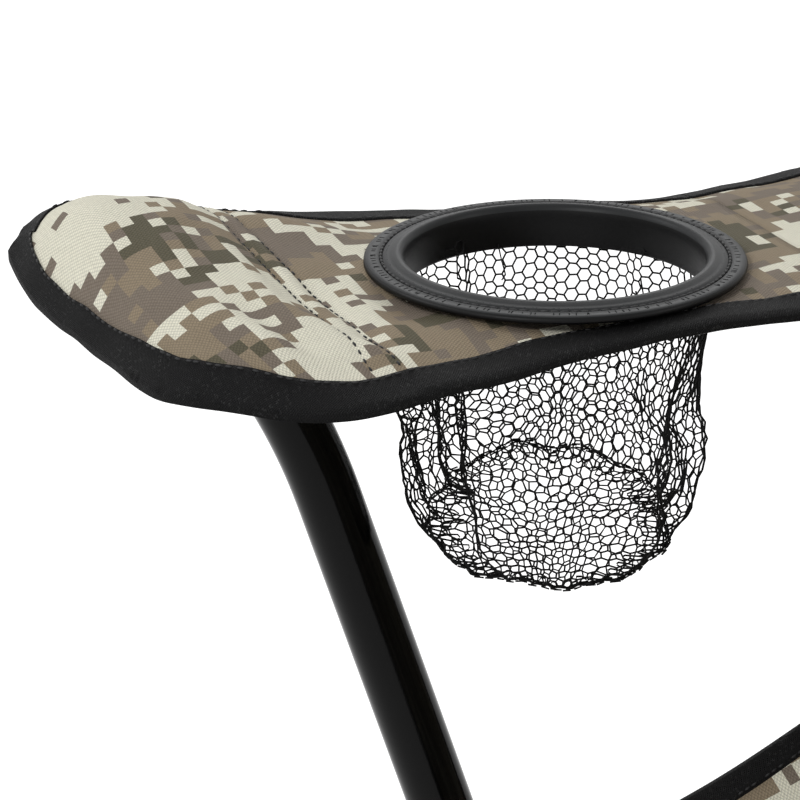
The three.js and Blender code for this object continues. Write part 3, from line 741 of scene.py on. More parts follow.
def plastic(name, slot, dark, light, roughness, specular):
    """Plastic with the mould's fine grain and faint flow marks."""
    paint = Paint(name, slot, Specular_IOR_Level=specular)
    fine = paint.mottle(paint.place(), 2600)
    broad = paint.mottle(paint.place(), 45, 3)
    paint.shade("Normal", paint.bump(fine + broad * 0.4, 0.00006, 0.5))
    paint.shade("Roughness", broad * 0.16 + (roughness - 0.08))
    return paint.two_tone(dark, light, 70, 3)


RING_PLASTIC = plastic("ring_plastic", "ring_plastic", (30, 31, 32), (42, 43, 44), 0.42, 0.14)
flange_tone = RING_PLASTIC.colour
# Painted shade: below the lip's foot, the inside of the collar is coloured near black, darker than the
# flange, for the shade inside the bore.
bore_painted_shade = RING_PLASTIC.two_tone((7, 7, 7), (15, 15, 16), 50).colour
above_lip_foot = RING_PLASTIC.split(RING_PLASTIC.place())[2] > LIP_FOOT
RING_PLASTIC.shade("Base Color", RING_PLASTIC.mix(above_lip_foot, bore_painted_shade, flange_tone))
TICK_BLACK = Paint("ring_tick_black", "ring_plastic", Roughness=0.9, Specular_IOR_Level=0.04)
TICK_BLACK.two_tone((6, 6, 6), (16, 16, 17), 600)


def on_flange(turn, radius, height):
    """The frame of a place on the flange, its X pointing outwards."""
    centre = Vector((RING_CENTRE.x, RING_CENTRE.y, height))
    return Matrix.Translation(centre) @ Matrix.Rotation(turn, 4, "Z") @ Matrix.Translation((radius, 0, 0))


def ring_seam():
    mesh = bmesh.new()
    for number in range(RING_STITCHES):
        place = on_flange(2 * math.pi * number / RING_STITCHES, GROOVE_RADIUS, GROOVE_THREAD)
        bmesh.ops.create_icosphere(mesh, subdivisions=1, radius=1,
                                   matrix=place @ Matrix.Diagonal((0.0005, 0.0016, 0.0004, 1)))
    return mesh


def ring_ticks():
    """Short bars across the flange, uneven in length and place, with some rubbed away."""
    mesh = bmesh.new()
    for number in range(RING_TICKS):
        odd = noise.noise(Vector((number * 0.83, 0, 0)))
        tilt = Matrix.Rotation(odd * 0.4, 4, "Z")
        for radius, height, share in TICK_RINGS:
            if noise.noise(Vector((number * 0.9, radius * 500, 8))) < -0.25:
                continue
            length = share * (0.0014 + 0.0011 * noise.noise(Vector((number * 1.7, radius * 900, 3))))
            place = on_flange(2 * math.pi * (number + odd) / RING_TICKS, radius, height) @ tilt
            bmesh.ops.create_cube(mesh, size=1, matrix=place @ Matrix.Diagonal((length, 0.00026, 0.00018, 1)))
    return mesh


ring_section = [(out / 1000, level + up / 1000) for level, points in RING_SECTION for out, up in points]
ring = make_piece("cup_ring_moulding", spun(ring_section, RING_TURNS, RING_CENTRE), RING_PLASTIC)
fit(ring, "cup_ring")
fit_trim("cup_ring_stitches", ring_seam(), THREAD, "cup_ring")
fit_trim("cup_ring_ticks", ring_ticks(), TICK_BLACK, "cup_ring", smooth=False)


# The net cup: a bag of knotless black mesh with six-sided holes, hung from the ring's collar. Its
# own weight barely opens it, so its lower half slumps into folds round a flat bottom.
NET_TOP = RING_CENTRE.z - 0.004
NET_DEPTH = 0.0802
NET_TOP_RADIUS = 0.0455
NET_LOW_RADIUS = 0.0385
NET_LEAN = 0.0025
# Where the wall goes slack and where it turns in at its foot, as shares of its depth.
SLACK_FROM = 0.18
SLACK_OVER = 0.45
FOOT_FROM = 0.86
FOOT_ROUNDING = 0.003
CELLS_ROUND = 88
CELL_ROWS = 17
BOTTOM_CELL = 0.0046
BOTTOM_REACH = NET_LOW_RADIUS - 0.003
BOTTOM_TILT = 0.0155
BOTTOM_SAG = 0.001
THREAD_THICKNESS = 0.00066
HEX_CORNER = 1 / math.sqrt(3)
HEX_STEP = math.sqrt(3) / 2
# Folds of the bag: the angle from the inner side, the depth where it is strongest, how wide and
# how deep it goes, in degrees and millimetres.
FOLD_TALL = 20
NET_FOLDS = [
    (-118, 34, 9, -7), (-100, 40, 7, 5), (-128, 48, 8, 4), (-72, 31, 6, -8), (-62, 35, 6, 4),
    (-163, 11, 6, -5), (117, 20, 6, -4), (148, 64, 9, -6), (-140, 70, 10, -5),
    (38, 44, 10, -6.5), (22, 52, 8, 4.5), (54, 58, 8, 5),
    (-40, 46, 16, 2.5), (-66, 60, 10, -5), (-8, 66, 12, -4.5),
    (100, 50, 14, -5), (140, 56, 12, 4), (176, 44, 14, -4), (-160, 62, 12, 4),
]
# Where the threads are drawn together: the angle and depth, how wide, how far down, how much.
GATHERS = [(-74, 32, 20, 13, 0.6), (-108, 62, 22, 16, 0.55), (22, 56, 20, 14, 0.55), (48, 74, 22, 12, 0.5),
           (148, 66, 26, 14, 0.5), (-150, 60, 24, 16, 0.5), (-30, 78, 24, 10, 0.4), (90, 60, 20, 16, 0.4)]
# Cut ends of thread inside the bag, from the ring's centre.
LOOSE_ENDS = [
    ((-0.0425, 0.002, -0.0076), (-0.0416, 0.0028, -0.0125)),
    ((-0.0416, 0.0028, -0.0122), (-0.041, 0.0038, -0.0168)),
    ((-0.041, 0.0038, -0.0166), (-0.0402, 0.0022, -0.018)),
    ((-0.041, -0.012, -0.009), (-0.0385, -0.013, -0.015)),
    ((-0.0385, -0.013, -0.0148), (-0.039, -0.009, -0.017)),
    ((-0.0195, 0.0375, -0.016), (-0.016, 0.037, -0.021)),
    ((-0.0205, 0.0365, -0.02), (-0.0185, 0.037, -0.0245)),
    ((-0.0125, 0.0405, -0.0175), (-0.0105, 0.0385, -0.022)),
]
SEAM_STRANDS = 240
HEM_ROUND = 0.286
HEM_WIDTH = 0.01


def degrees_past(turn, angle):
    """How far a turn in radians lies past an angle in degrees, from -180 to 180."""
    return (math.degrees(turn) - angle + 180) % 360 - 180


def drawn_in(turn, depth):
    """The thread's place on the bag, pulled towards the gathers near it."""
    millimetres = depth * 1000
    for angle, middle, wide, deep, pull in GATHERS:
        off = degrees_past(turn, angle)
        hold = pull * math.exp(-(off / wide) ** 2 - ((millimetres - middle) / deep) ** 2)
        turn -= math.radians(off) * hold
        depth -= (millimetres - middle) / 1000 * hold * 0.7
    return turn, depth


def crumple(turn, down, round_waves, down_waves, seed=0):
    """Smooth noise over the bag, with its waves as close round the bag and down it as asked."""
    return noise.noise(Vector((math.cos(turn) * round_waves, math.sin(turn) * round_waves,
                               seed + down * down_waves)))


def bag_point(turn, depth):
    """A point of the bag: turn in radians from the seat's side, depth in metres below its rim.
    Past the wall's foot, depth goes on across the bottom."""
    wall = min(depth, NET_DEPTH)
    share = wall / NET_DEPTH
    slack = clamp((share - SLACK_FROM) / SLACK_OVER) ** 1.3
    radius = NET_TOP_RADIUS + (NET_LOW_RADIUS - NET_TOP_RADIUS) * share ** 0.85
    for angle, middle, wide, deep in NET_FOLDS:
        off = degrees_past(turn, angle)
        radius += deep / 1000 * math.exp(-(off / wide) ** 2 - ((wall * 1000 - middle) / FOLD_TALL) ** 2)
    radius += slack * (0.0042 * crumple(turn, wall, 3.2, 60) + 0.0018 * crumple(turn, wall, 9, 150, 3))
    foot = max(share - FOOT_FROM, 0) / (1 - FOOT_FROM)
    radius -= FOOT_ROUNDING * foot ** 2
    height = NET_TOP - wall + BOTTOM_TILT * (1 - math.cos(turn)) / 2 * share ** 1.6
    height += 0.0035 * slack * crumple(turn, wall, 2.1, 30, 7) + 0.0032 * math.sin(turn) * share ** 2
    over = max(depth - NET_DEPTH, 0)
    radius -= over
    height -= 0.0012 * min(over / 0.004, 1)
    lean = slack * NET_LEAN
    return Vector((RING_CENTRE.x + lean + radius * math.cos(turn),
                   RING_CENTRE.y - lean + radius * math.sin(turn), height))


def knit_net():
    """The mesh of the bag: six-sided holes laid on the flat, drawn into threads, then hung."""
    cell_width = 2 * math.pi / CELLS_ROUND
    mesh = bmesh.new()
    for row in range(CELL_ROWS + 1):
        for column in range(CELLS_ROUND):
            place = Matrix.Translation((column * HEX_STEP, row + 0.5 * (column % 2), 0))
            bmesh.ops.create_circle(mesh, cap_ends=True, segments=6, radius=HEX_CORNER,
                                    matrix=place @ Matrix.Rotation(math.pi / 6, 4, "Z"))
    bmesh.ops.remove_doubles(mesh, verts=mesh.verts, dist=0.01)
    for corner in mesh.verts:
        turn = corner.co.x / HEX_STEP * cell_width
        rows_down = max((corner.co.y + 0.5) / CELL_ROWS, 0)
        depth = NET_DEPTH * (0.78 * rows_down + 0.22 * rows_down ** 2)
        sway = 0.25 * noise.noise(corner.co * 0.45)
        corner.co = bag_point(*drawn_in(turn + sway * cell_width,
                                        max(depth + sway * NET_DEPTH / CELL_ROWS, 0)))
    bmesh.ops.remove_doubles(mesh, verts=mesh.verts, dist=0.0002)
    return mesh


def knit_bottom():
    """The bottom: a flat round of the same mesh, puckered where it is sewn to the wall."""
    mesh = bmesh.new()
    count = int(BOTTOM_REACH / BOTTOM_CELL) + 2
    for row in range(-count, count + 1):
        for column in range(-count, count + 1):
            at = Vector((column + (0.5 if row % 2 else 0), row * HEX_STEP, 0)) * BOTTOM_CELL
            if at.length < BOTTOM_REACH:
                bmesh.ops.create_circle(mesh, cap_ends=True, segments=6, radius=BOTTOM_CELL * HEX_CORNER,
                                        matrix=Matrix.Translation(at))
    bmesh.ops.remove_doubles(mesh, verts=mesh.verts, dist=BOTTOM_CELL / 10)
    heart = Vector((RING_CENTRE.x + NET_LEAN, RING_CENTRE.y - NET_LEAN,
                    NET_TOP - NET_DEPTH + BOTTOM_TILT / 2 - BOTTOM_SAG))
    for corner in mesh.verts:
        out = corner.co.length / BOTTOM_REACH
        rim = bag_point(math.atan2(corner.co.y, corner.co.x), NET_DEPTH)
        place = heart.lerp(rim, min(out, 1.02))
        place.z += 0.0022 * noise.noise(place * 60) * (1 - min(out, 1)) - 0.0015 * (1 - out ** 2)
        corner.co = place
    return mesh


NET_THREAD = Paint("net_thread", "net", Roughness=0.75, Specular_IOR_Level=0.15)
NET_THREAD.two_tone((5, 5, 5), (20, 20, 20), 800)


def thread_net(name, mesh, replaces):
    """Turns every edge of the mesh into thread."""
    net = make_piece(name, mesh, NET_THREAD)
    threads = net.modifiers.new("threads", "WIREFRAME")
    threads.thickness = THREAD_THICKNESS
    threads.use_even_offset = False
    apply_modifiers(net)
    fit(net, "net_cup", replaces)


def pointing(start, way):
    """The frame of a place, its Z pointing the given way."""
    return Matrix.Translation(start) @ way.to_track_quat("Z", "Y").to_matrix().to_4x4()


def lay_strand(mesh, start, end, radii, sides, stretch=1, lift=Vector()):
    way = end - start
    bmesh.ops.create_cone(mesh, cap_ends=True, segments=sides, radius1=radii[0], radius2=radii[1],
                          depth=way.length * stretch, matrix=pointing((start + end) / 2 + lift, way))


def loose_threads():
    """Cut ends of thread inside the bag, and the dense line of its bottom seam."""
    mesh = bmesh.new()
    for start, end in LOOSE_ENDS:
        lay_strand(mesh, RING_CENTRE + Vector(start), RING_CENTRE + Vector(end), (0.00028, 0.0002), 6)
    seam = [bag_point(2 * math.pi * k / SEAM_STRANDS, NET_DEPTH) for k in range(SEAM_STRANDS)]
    for number, here in enumerate(seam):
        lay_strand(mesh, here, seam[(number + 2) % SEAM_STRANDS], (0.0003, 0.00024), 5, 1.3,
                   Vector((0, 0, 0.0007 * math.sin(number * 1.7))))
    return mesh


def hem(along, around):
    """The tape sewn round the bag's mouth."""
    turn, section = along * 2 * math.pi, around * 2 * math.pi
    radius = NET_TOP_RADIUS + 0.0009 * math.cos(section)
    return Vector((RING_CENTRE.x + radius * math.cos(turn), RING_CENTRE.y + radius * math.sin(turn),
                   NET_TOP + 0.0008 + 0.0022 * math.sin(section)))


thread_net("net_bag", knit_net(), True)
thread_net("net_bottom", knit_bottom(), False)
fit_trim("net_bottom_seam", loose_threads(), NET_THREAD, "net_cup")
hem_band = laid(140, 8, hem, lambda along, around: (along * HEM_ROUND, around * HEM_WIDTH), closed=True)
fit_trim("net_hem", hem_band, TAPE, "net_cup")


# The steel: round tube in gloss black powder coat. Each arm post stands upright in its front hub,
# leans forward above it and is bent level under the arm. A black plug closes each open end.
TUBE_SIDES = 40
POLE_WALL = 0.0012
POST_LEAN = math.radians(19)
POST_BEND = 0.030
POST_END_RUN = 0.010
POST_EASED = POST_LEAN + math.radians(13)
POST_EASE_RADIUS = 0.2
HUB_TOP_CLEARANCE = 0.001


def middle_of(node):
    low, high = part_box(node)
    return (low + high) / 2


POLE_X = middle_of("rear_pole_left").x
REAR_Y = middle_of("rear_pole_left").y
POLE_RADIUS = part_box("rear_pole_left")[1].x - POLE_X
FRONT_HUB_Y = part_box("arm_post_left")[1].y - POLE_RADIUS

TUBE_PAINT = Paint("tube_powder_coat", "tube_paint", Specular_IOR_Level=0.1)
spread = TUBE_PAINT.mottle(TUBE_PAINT.place(), 14, 3)
peel = TUBE_PAINT.mottle(TUBE_PAINT.place(), 420, 2)
TUBE_PAINT.shade("Base Color", TUBE_PAINT.mix(spread, tone(3, 3, 3), tone(8, 8, 8)))
TUBE_PAINT.shade("Roughness", spread * 0.08 + 0.1)
TUBE_PAINT.shade("Normal", TUBE_PAINT.bump(peel, 0.00006, 0.35))

MOULDED = plastic("moulded_black", "moulded_black", (12, 12, 13), (24, 24, 25), 0.5, 0.3)
RIVET_STEEL = Paint("rivet_steel", "rivet_steel", Metallic=1.0, Specular_IOR_Level=0.5)
RIVET_STEEL.two_tone((150, 151, 153), (196, 197, 198), 260)
brushed = RIVET_STEEL.mottle(RIVET_STEEL.place(), 1800, 3)
RIVET_STEEL.shade("Roughness", brushed * 0.2 + 0.22)


def last_edges(made):
    return [part for part in made if isinstance(part, bmesh.types.BMEdge)]


def run_straight(mesh, edges, way):
    """Draws the open end of a tube onwards."""
    made = bmesh.ops.extrude_edge_only(mesh, edges=edges)["geom"]
    bmesh.ops.translate(mesh, verts=[part for part in made if isinstance(part, bmesh.types.BMVert)], vec=way)
    return last_edges(made)


def run_bend(mesh, edges, centre, angle, steps):
    """Bends the open end of a tube forward round a centre."""
    corners = {corner for edge in edges for corner in edge.verts}
    made = bmesh.ops.spin(mesh, geom=list(corners) + list(edges), cent=centre, axis=(1, 0, 0), angle=angle,
                          steps=steps)
    return last_edges(made["geom_last"])


def bend_reach(radius, lean, next_lean):
    """How far a bend from one lean to another takes the tube's end forward and up."""
    return Vector((0, radius * (math.cos(next_lean) - math.cos(lean)),
                   radius * (math.sin(next_lean) - math.sin(lean))))


def make_post(side_name):
    name = f"arm_post_{side_name}"
    foot = Vector((SIDES[side_name] * POLE_X, FRONT_HUB_Y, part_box(name)[0].z))
    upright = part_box(f"front_hub_{side_name}")[1].z + HUB_TOP_CLEARANCE - foot.z
    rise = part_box(name)[1].z - POLE_RADIUS - foot.z - upright
    ends_forward = POST_BEND + (rise - POST_BEND) * math.tan(POST_LEAN) + POST_END_RUN
    # Each bend's radius, the leans before and after it, and its steps.
    bends = [(POST_BEND, 0, POST_LEAN, 6), (POST_EASE_RADIUS, POST_LEAN, POST_EASED, 10),
             (POST_BEND, POST_EASED, math.pi / 2, 16)]
    bent = sum((bend_reach(*bend[:3]) for bend in bends), Vector((0, 0, 0)))
    straight = (rise - bent.z) / math.cos(POST_LEAN)
    end_run = ends_forward + bent.y - straight * math.sin(POST_LEAN)
    mesh = bmesh.new()
    start = bmesh.ops.create_circle(mesh, segments=TUBE_SIDES, radius=POLE_RADIUS,
                                    matrix=Matrix.Translation(foot))["verts"]
    edges = list({edge for corner in start for edge in corner.link_edges})
    tip = foot
    for run, (radius, lean, next_lean, steps) in zip((upright, straight, 0), bends):
        if run:
            way = Vector((0, -math.sin(lean), math.cos(lean))) * run
            edges = run_straight(mesh, edges, way)
            tip = tip + way
        centre = tip + Vector((0, -math.cos(lean), -math.sin(lean))) * radius
        edges = run_bend(mesh, edges, centre, next_lean - lean, steps)
        tip = tip + bend_reach(radius, lean, next_lean)
    run_straight(mesh, edges, (0, -end_run, 0))
    bmesh.ops.remove_doubles(mesh, verts=mesh.verts, dist=1e-6)
    bmesh.ops.recalc_face_normals(mesh, faces=mesh.faces)
    mesh.normal_update()
    if sum(face.normal.x * (face.calc_center_median().x - foot.x) for face in mesh.faces) < 0:
        bmesh.ops.reverse_faces(mesh, faces=mesh.faces)
    post = make_piece(f"{name}_drawn", mesh, TUBE_PAINT)
    thicken(post, POLE_WALL, -1)
    fit(post, name)


def moved(mesh, matrix):
    bmesh.ops.transform(mesh, verts=mesh.verts, matrix=matrix)
    return mesh


def make_part(name, mesh, node, finish, sharp=30, replaces=True):
    """A piece with sharp edges, fitted to a node."""
    bmesh.ops.recalc_face_normals(mesh, faces=mesh.faces)
    piece = make_piece(name, mesh, finish)
    piece.data.set_sharp_from_angle(angle=math.radians(sharp))
    fit(piece, node, replaces)


RIM_EASE = 0.0003


def tube_section(radius, wall, length):
    """The section of a cut tube, its rims eased, from one end to the other."""
    inner = radius - wall
    low, high = RIM_EASE, length - RIM_EASE
    return [(radius - RIM_EASE, 0), (radius, low), (radius, high), (radius - RIM_EASE, length),
            (inner + RIM_EASE, length), (inner, high), (inner, low), (inner + RIM_EASE, 0)]


def make_pole(side_name):
    name = f"rear_pole_{side_name}"
    low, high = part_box(name)
    mesh = spun(tube_section(POLE_RADIUS, POLE_WALL, high.z - low.z), TUBE_SIDES)
    seat = Vector((middle_of(name).x, middle_of(name).y, low.z))
    make_part(f"{name}_drawn", moved(mesh, pointing(seat, Vector((0, 0, 1)))), name, TUBE_PAINT)


def plug_section(radius, depth, height):
    """A plug with a soft dome, from its foot on the axis to its crown."""
    return [(0, -depth), (radius - 0.0018, -depth), (radius - 0.0016, 0), (radius - 0.0002, 0),
            (radius, 0.0003), (radius - 0.0003, height * 0.4), (radius * 0.86, height * 0.74),
            (radius * 0.6, height * 0.94), (0, height)]


CAP_GAP = 0.0003
CAP_DEPTH = 0.009


def make_caps(side_name):
    """The plugs on top of the rear pole and in the arm post's level end."""
    pole_cap, post_cap = f"pole_cap_{side_name}", f"post_cap_{side_name}"
    pole_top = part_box(f"rear_pole_{side_name}")[1].z + CAP_GAP
    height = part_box(pole_cap)[1].z - pole_top
    pole_seat, post_seat = middle_of(pole_cap), middle_of(post_cap)
    pole_seat.z = pole_top
    post_seat.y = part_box(post_cap)[0].y + height
    for name, seat, way in ((pole_cap, pole_seat, (0, 0, 1)), (post_cap, post_seat, (0, -1, 0))):
        plug = spun(plug_section(POLE_RADIUS, CAP_DEPTH, height), TUBE_SIDES, closed=False)
        make_part(f"{name}_dome", moved(plug, pointing(seat, Vector(way))), name, MOULDED)


for side_name in SIDES:
    make_post(side_name)
    make_pole(side_name)
    make_caps(side_name)


# The crossed tubes: thinner round tube in the same coat, with a small black plug pressed into each end;
# the rivets' holes in them are not drawn. They run from a foot's lug to the hub of the next corner.
CROSS_RADIUS = 0.008
CROSS_WALL = 0.001
CROSS_SIDES = 32
CROSS_OVERHANG = 0.012
PLUG_RADIUS = CROSS_RADIUS - 0.0003
PLUG_DEPTH = 0.006
PLUG_HEIGHT = 0.0016
PLUG_SINK = 0.0002
UPPER_PIECE = {"rear": "rear_slider", "front": "front_hub"}


def add_to(whole, part):
    """Moves the shape of one mesh into another."""
    data = bpy.data.meshes.new("part")
    part.to_mesh(data)
    part.free()
    whole.from_mesh(data)
    bpy.data.meshes.remove(data)


def make_cross_tube(node, low_rivet, high_rivet, rivet_axis):
    low, high, middle = middle_of(low_rivet), middle_of(high_rivet), middle_of(node)
    low[rivet_axis] = high[rivet_axis] = middle[rivet_axis]
    way = (high - low).normalized()
    length = (high - low).length + 2 * CROSS_OVERHANG
    start = low - way * CROSS_OVERHANG
    tube = spun(tube_section(CROSS_RADIUS, CROSS_WALL, length), CROSS_SIDES)
    make_part(f"{node}_drawn", moved(tube, pointing(start, way)), node, TUBE_PAINT)
    plugs = bmesh.new()
    for end, out in ((start, -way), (start + way * length, way)):
        plug = spun(plug_section(PLUG_RADIUS, PLUG_DEPTH, PLUG_HEIGHT), CROSS_SIDES, closed=False)
        add_to(plugs, moved(plug, pointing(end - out * PLUG_SINK, out)))
    make_part(f"{node}_plugs", plugs, node, MOULDED, 40, replaces=False)


for end_name in ("rear", "front"):
    for rising, falling in (("left", "right"), ("right", "left")):
        make_cross_tube(f"{end_name}_tube_rising_{rising}", f"{end_name}_foot_{falling}_cross_rivet",
                        f"{UPPER_PIECE[end_name]}_{rising}_cross_rivet", 1)
for side_name in SIDES:
    for rising, falling, word in (("rear", "front", "rearward"), ("front", "rear", "forward")):
        make_cross_tube(f"{side_name}_tube_rising_{word}", f"{falling}_foot_{side_name}_side_rivet",
                        f"{UPPER_PIECE[rising]}_{side_name}_side_rivet", 0)


# The rivets: plated steel, each with two domed heads. Those at the crossings carry a collar
# that keeps the two tubes apart.
HEAD_RADIUS = 0.0065
HEAD_HEIGHT = 0.0024
HEAD_RIM = 0.0003
SHANK_RADIUS = 0.003
COLLAR_RADIUS = HEAD_RADIUS + 0.001
COLLAR_HALF_HEIGHT = 0.0007


def rivet_section(length, collar):
    """A rivet's section from the crown of one head to the crown of the other."""
    half = length / 2 - HEAD_HEIGHT
    dome = [(math.sin(turn) * HEAD_RADIUS, half + HEAD_HEIGHT * (0.14 + 0.86 * math.cos(turn)))
            for turn in (math.radians(degrees) for degrees in (90, 72, 54, 36, 18, 0))]
    upper = [(SHANK_RADIUS, half), (HEAD_RADIUS - HEAD_RIM, half)] + dome
    if collar:
        upper = [(COLLAR_RADIUS, COLLAR_HALF_HEIGHT), (SHANK_RADIUS, COLLAR_HALF_HEIGHT)] + upper
    return [(radius, -height) for radius, height in reversed(upper)] + upper


for node in sorted(BODY_OF):
    if node.endswith("_rivet"):
        low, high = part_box(node)
        length = max(high - low)
        way = Vector([1 if size == length else 0 for size in high - low])
        rivet = spun(rivet_section(length, "crossing" in node), 24, closed=False)
        make_part(f"{node}_domed", moved(rivet, pointing(middle_of(node), way)), node, RIVET_STEEL, 50)


# The feet, front hubs and sliders: glass-filled nylon mouldings. Each is a round column with two
# lugs for the tubes' rivets, a stiffening rib on each lug, and corners eased all round.
LUG_THICKNESS = 0.008
LUG_HALF_HEIGHT = 0.013
LUG_FACE = 0.0007
PIVOT_REACH = 0.035
RIM_ROUNDING = 0.0009
RIB_SIZE = (0.016, 0.0024, 0.004)
RIB_ROUNDING = 0.0006
RIB_OUT = 0.004
RIB_OFF = 0.001
HUB_RADIUS = 0.016
HUB_FLOOR = 0.006
HUB_ROUNDING = 0.002
EAR_HALF_WIDTH = 0.011
EAR_THICKNESS = 0.006
EAR_REACH = 0.024
FOOT_FLOOR = 0.012
BORE_GAP = 0.0003
SLIDING_GAP = 0.0004
BORE_PAST = 0.001
COLUMN_SIDES = 64
# Half a foot's section: the broad base with its hollow, and the neck's rim, measured from its top.
FOOT_BASE = [(0, 0.0006), (0.024, 0.0006), (0.025, 0), (0.0283, 0), (0.0294, 0.0008), (0.03, 0.0026),
             (0.0294, 0.006), (0.028, 0.008), (0.0235, 0.0098), (0.0202, 0.0124), (0.018, 0.0162),
             (0.0166, 0.024), (0.016, 0.034)]
FOOT_RIM = [(0.016, -0.003), (0.0152, -0.0009), (0.0134, 0), (0, 0)]


def round_off(mesh, edges, offset, segments):
    bmesh.ops.bevel(mesh, geom=edges, offset=offset, offset_type="OFFSET", affect="EDGES", segments=segments,
                    profile=0.5, material=-1)


def tongue(half_width, thickness, reach, sides, rim_steps):
    """A plate that runs out from an axis to a round end, its rims eased."""
    mesh = bmesh.new()
    made = bmesh.ops.create_cone(mesh, cap_ends=True, segments=sides, radius1=half_width, radius2=half_width,
                                 depth=thickness, matrix=Matrix.Translation((reach, 0, 0)))["verts"]
    for corner in made:
        if corner.co.x < reach - 1e-6:
            corner.co.y = math.copysign(half_width, corner.co.y) if abs(corner.co.y) > 1e-5 else 0
            corner.co.x = 0
    bmesh.ops.remove_doubles(mesh, verts=mesh.verts, dist=1e-6)
    bmesh.ops.dissolve_degenerate(mesh, dist=1e-6, edges=mesh.edges)
    rims = [edge for edge in mesh.edges if len(edge.link_faces) == 2 and edge.calc_face_angle(0) > 1]
    round_off(mesh, rims, RIM_ROUNDING, rim_steps)
    return mesh


def lug_frame(pivot, way, away, out, off):
    """The frame of a place on a lug, from the column's axis out and off from the tube that it holds."""
    up = Vector((0, 0, 1))
    turn = Matrix((way, up, way.cross(up))).transposed().to_4x4()
    return Matrix.Translation(pivot + way * out + away * off) @ turn


def lug_and_rib(pivot, way, away):
    """A lug with a round end at the pivot, and a gusset on the side away from the tube."""
    lug = moved(tongue(LUG_HALF_HEIGHT, LUG_THICKNESS, PIVOT_REACH, 48, 3),
                lug_frame(pivot, way, away, 0, LUG_FACE + LUG_THICKNESS / 2))
    rib = bmesh.new()
    frame_of_rib = lug_frame(pivot, way, away, HUB_RADIUS + RIB_OUT, LUG_FACE + LUG_THICKNESS + RIB_OFF)
    bmesh.ops.create_cube(rib, size=1, matrix=frame_of_rib @ Matrix.Diagonal((*RIB_SIZE, 1)))
    round_off(rib, list(rib.edges), RIB_ROUNDING, 2)
    return [lug, rib]


def joined(shapes, bore):
    """One moulding from several shapes, with the bore, if there is one, cut out of it."""
    pieces = []
    for number, mesh in enumerate(shapes + bore):
        bmesh.ops.recalc_face_normals(mesh, faces=mesh.faces)
        pieces.append(make_piece(f"moulding_{number}", mesh, MOULDED))
    first = pieces[0]
    for number, other in enumerate(pieces[1:], 1):
        join = first.modifiers.new("join", "BOOLEAN")
        join.operation = "UNION" if number < len(shapes) else "DIFFERENCE"
        join.object = other
        join.solver = "EXACT"
        apply_modifiers(first)
        bpy.data.objects.remove(other)
    mesh = bmesh.new()
    mesh.from_mesh(first.data)
    bpy.data.objects.remove(first)
    return mesh


def make_moulding(node, pivot_z, section, bore=None, extra=()):
    """A column with its lugs. The bore is its floor, its top and its radius."""
    end_name, _, side_name = node.split("_")
    side = SIDES[side_name]
    toward_middle = -1 if end_name == "rear" else 1
    centre = Vector((side * POLE_X, REAR_Y if end_name == "rear" else FRONT_HUB_Y, 0))
    shapes = [moved(spun(section, COLUMN_SIDES, closed=False), Matrix.Translation(centre))]
    for family, way, axis in (("cross", Vector((-side, 0, 0)), Vector((0, 1, 0))),
                              ("side", Vector((0, toward_middle, 0)), Vector((1, 0, 0)))):
        to_rivet = (middle_of(f"{node}_{family}_rivet") - centre).dot(axis)
        pivot = centre + Vector((0, 0, pivot_z))
        shapes += lug_and_rib(pivot, way, axis * math.copysign(1, -to_rivet))
    hole = []
    if bore:
        floor, top, radius = bore
        heart = centre + Vector((0, 0, (floor + top) / 2))
        hole = [bmesh.new()]
        bmesh.ops.create_cone(hole[0], cap_ends=True, segments=COLUMN_SIDES, radius1=radius, radius2=radius,
                              depth=top - floor, matrix=Matrix.Translation(heart))
    make_part(f"{node}_moulded", joined(shapes + list(extra), hole), node, MOULDED, 40)


def column_section(low, high, radius):
    """A column with round rims."""
    rim = [(radius - HUB_ROUNDING * (1 - math.sin(turn)), HUB_ROUNDING * (1 - math.cos(turn)))
           for turn in (math.radians(degrees) for degrees in (0, 22, 45, 68, 90))]
    return ([(0, low)] + [(out, low + rise) for out, rise in rim]
            + [(out, high - rise) for out, rise in reversed(rim)] + [(0, high)])


def ear(side_name):
    """The ear on top of a front hub, to which a corner of the sling is screwed."""
    hub_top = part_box(f"front_hub_{side_name}")[1].z
    centre = Vector((SIDES[side_name] * POLE_X, FRONT_HUB_Y, hub_top - EAR_THICKNESS / 2))
    turn = Matrix.Rotation(math.pi if SIDES[side_name] > 0 else 0, 4, "Z")
    return moved(tongue(EAR_HALF_WIDTH, EAR_THICKNESS, EAR_REACH, 40, 2), Matrix.Translation(centre) @ turn)


FOOT_PIVOT_Z = middle_of("front_foot_left_cross_rivet").z
HUB_PIVOT_Z = middle_of("front_hub_left_cross_rivet").z
for side_name in SIDES:
    for end_name in ("rear", "front"):
        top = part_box(f"{end_name}_foot_{side_name}")[1].z
        foot_section = FOOT_BASE + [(radius, top + rise) for radius, rise in FOOT_RIM]
        bore = (FOOT_FLOOR, top + BORE_PAST, POLE_RADIUS + BORE_GAP) if end_name == "rear" else None
        make_moulding(f"{end_name}_foot_{side_name}", FOOT_PIVOT_Z, foot_section, bore)
    low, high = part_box(f"front_hub_{side_name}")
    make_moulding(f"front_hub_{side_name}", HUB_PIVOT_Z, column_section(low.z, high.z, HUB_RADIUS),
                  (low.z + HUB_FLOOR, high.z + BORE_PAST, POLE_RADIUS + BORE_GAP), [ear(side_name)])
    low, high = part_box(f"rear_slider_{side_name}")
    make_moulding(f"rear_slider_{side_name}", HUB_PIVOT_Z, column_section(low.z, high.z, HUB_RADIUS),
                  (low.z - BORE_PAST, high.z + BORE_PAST, POLE_RADIUS + SLIDING_GAP))


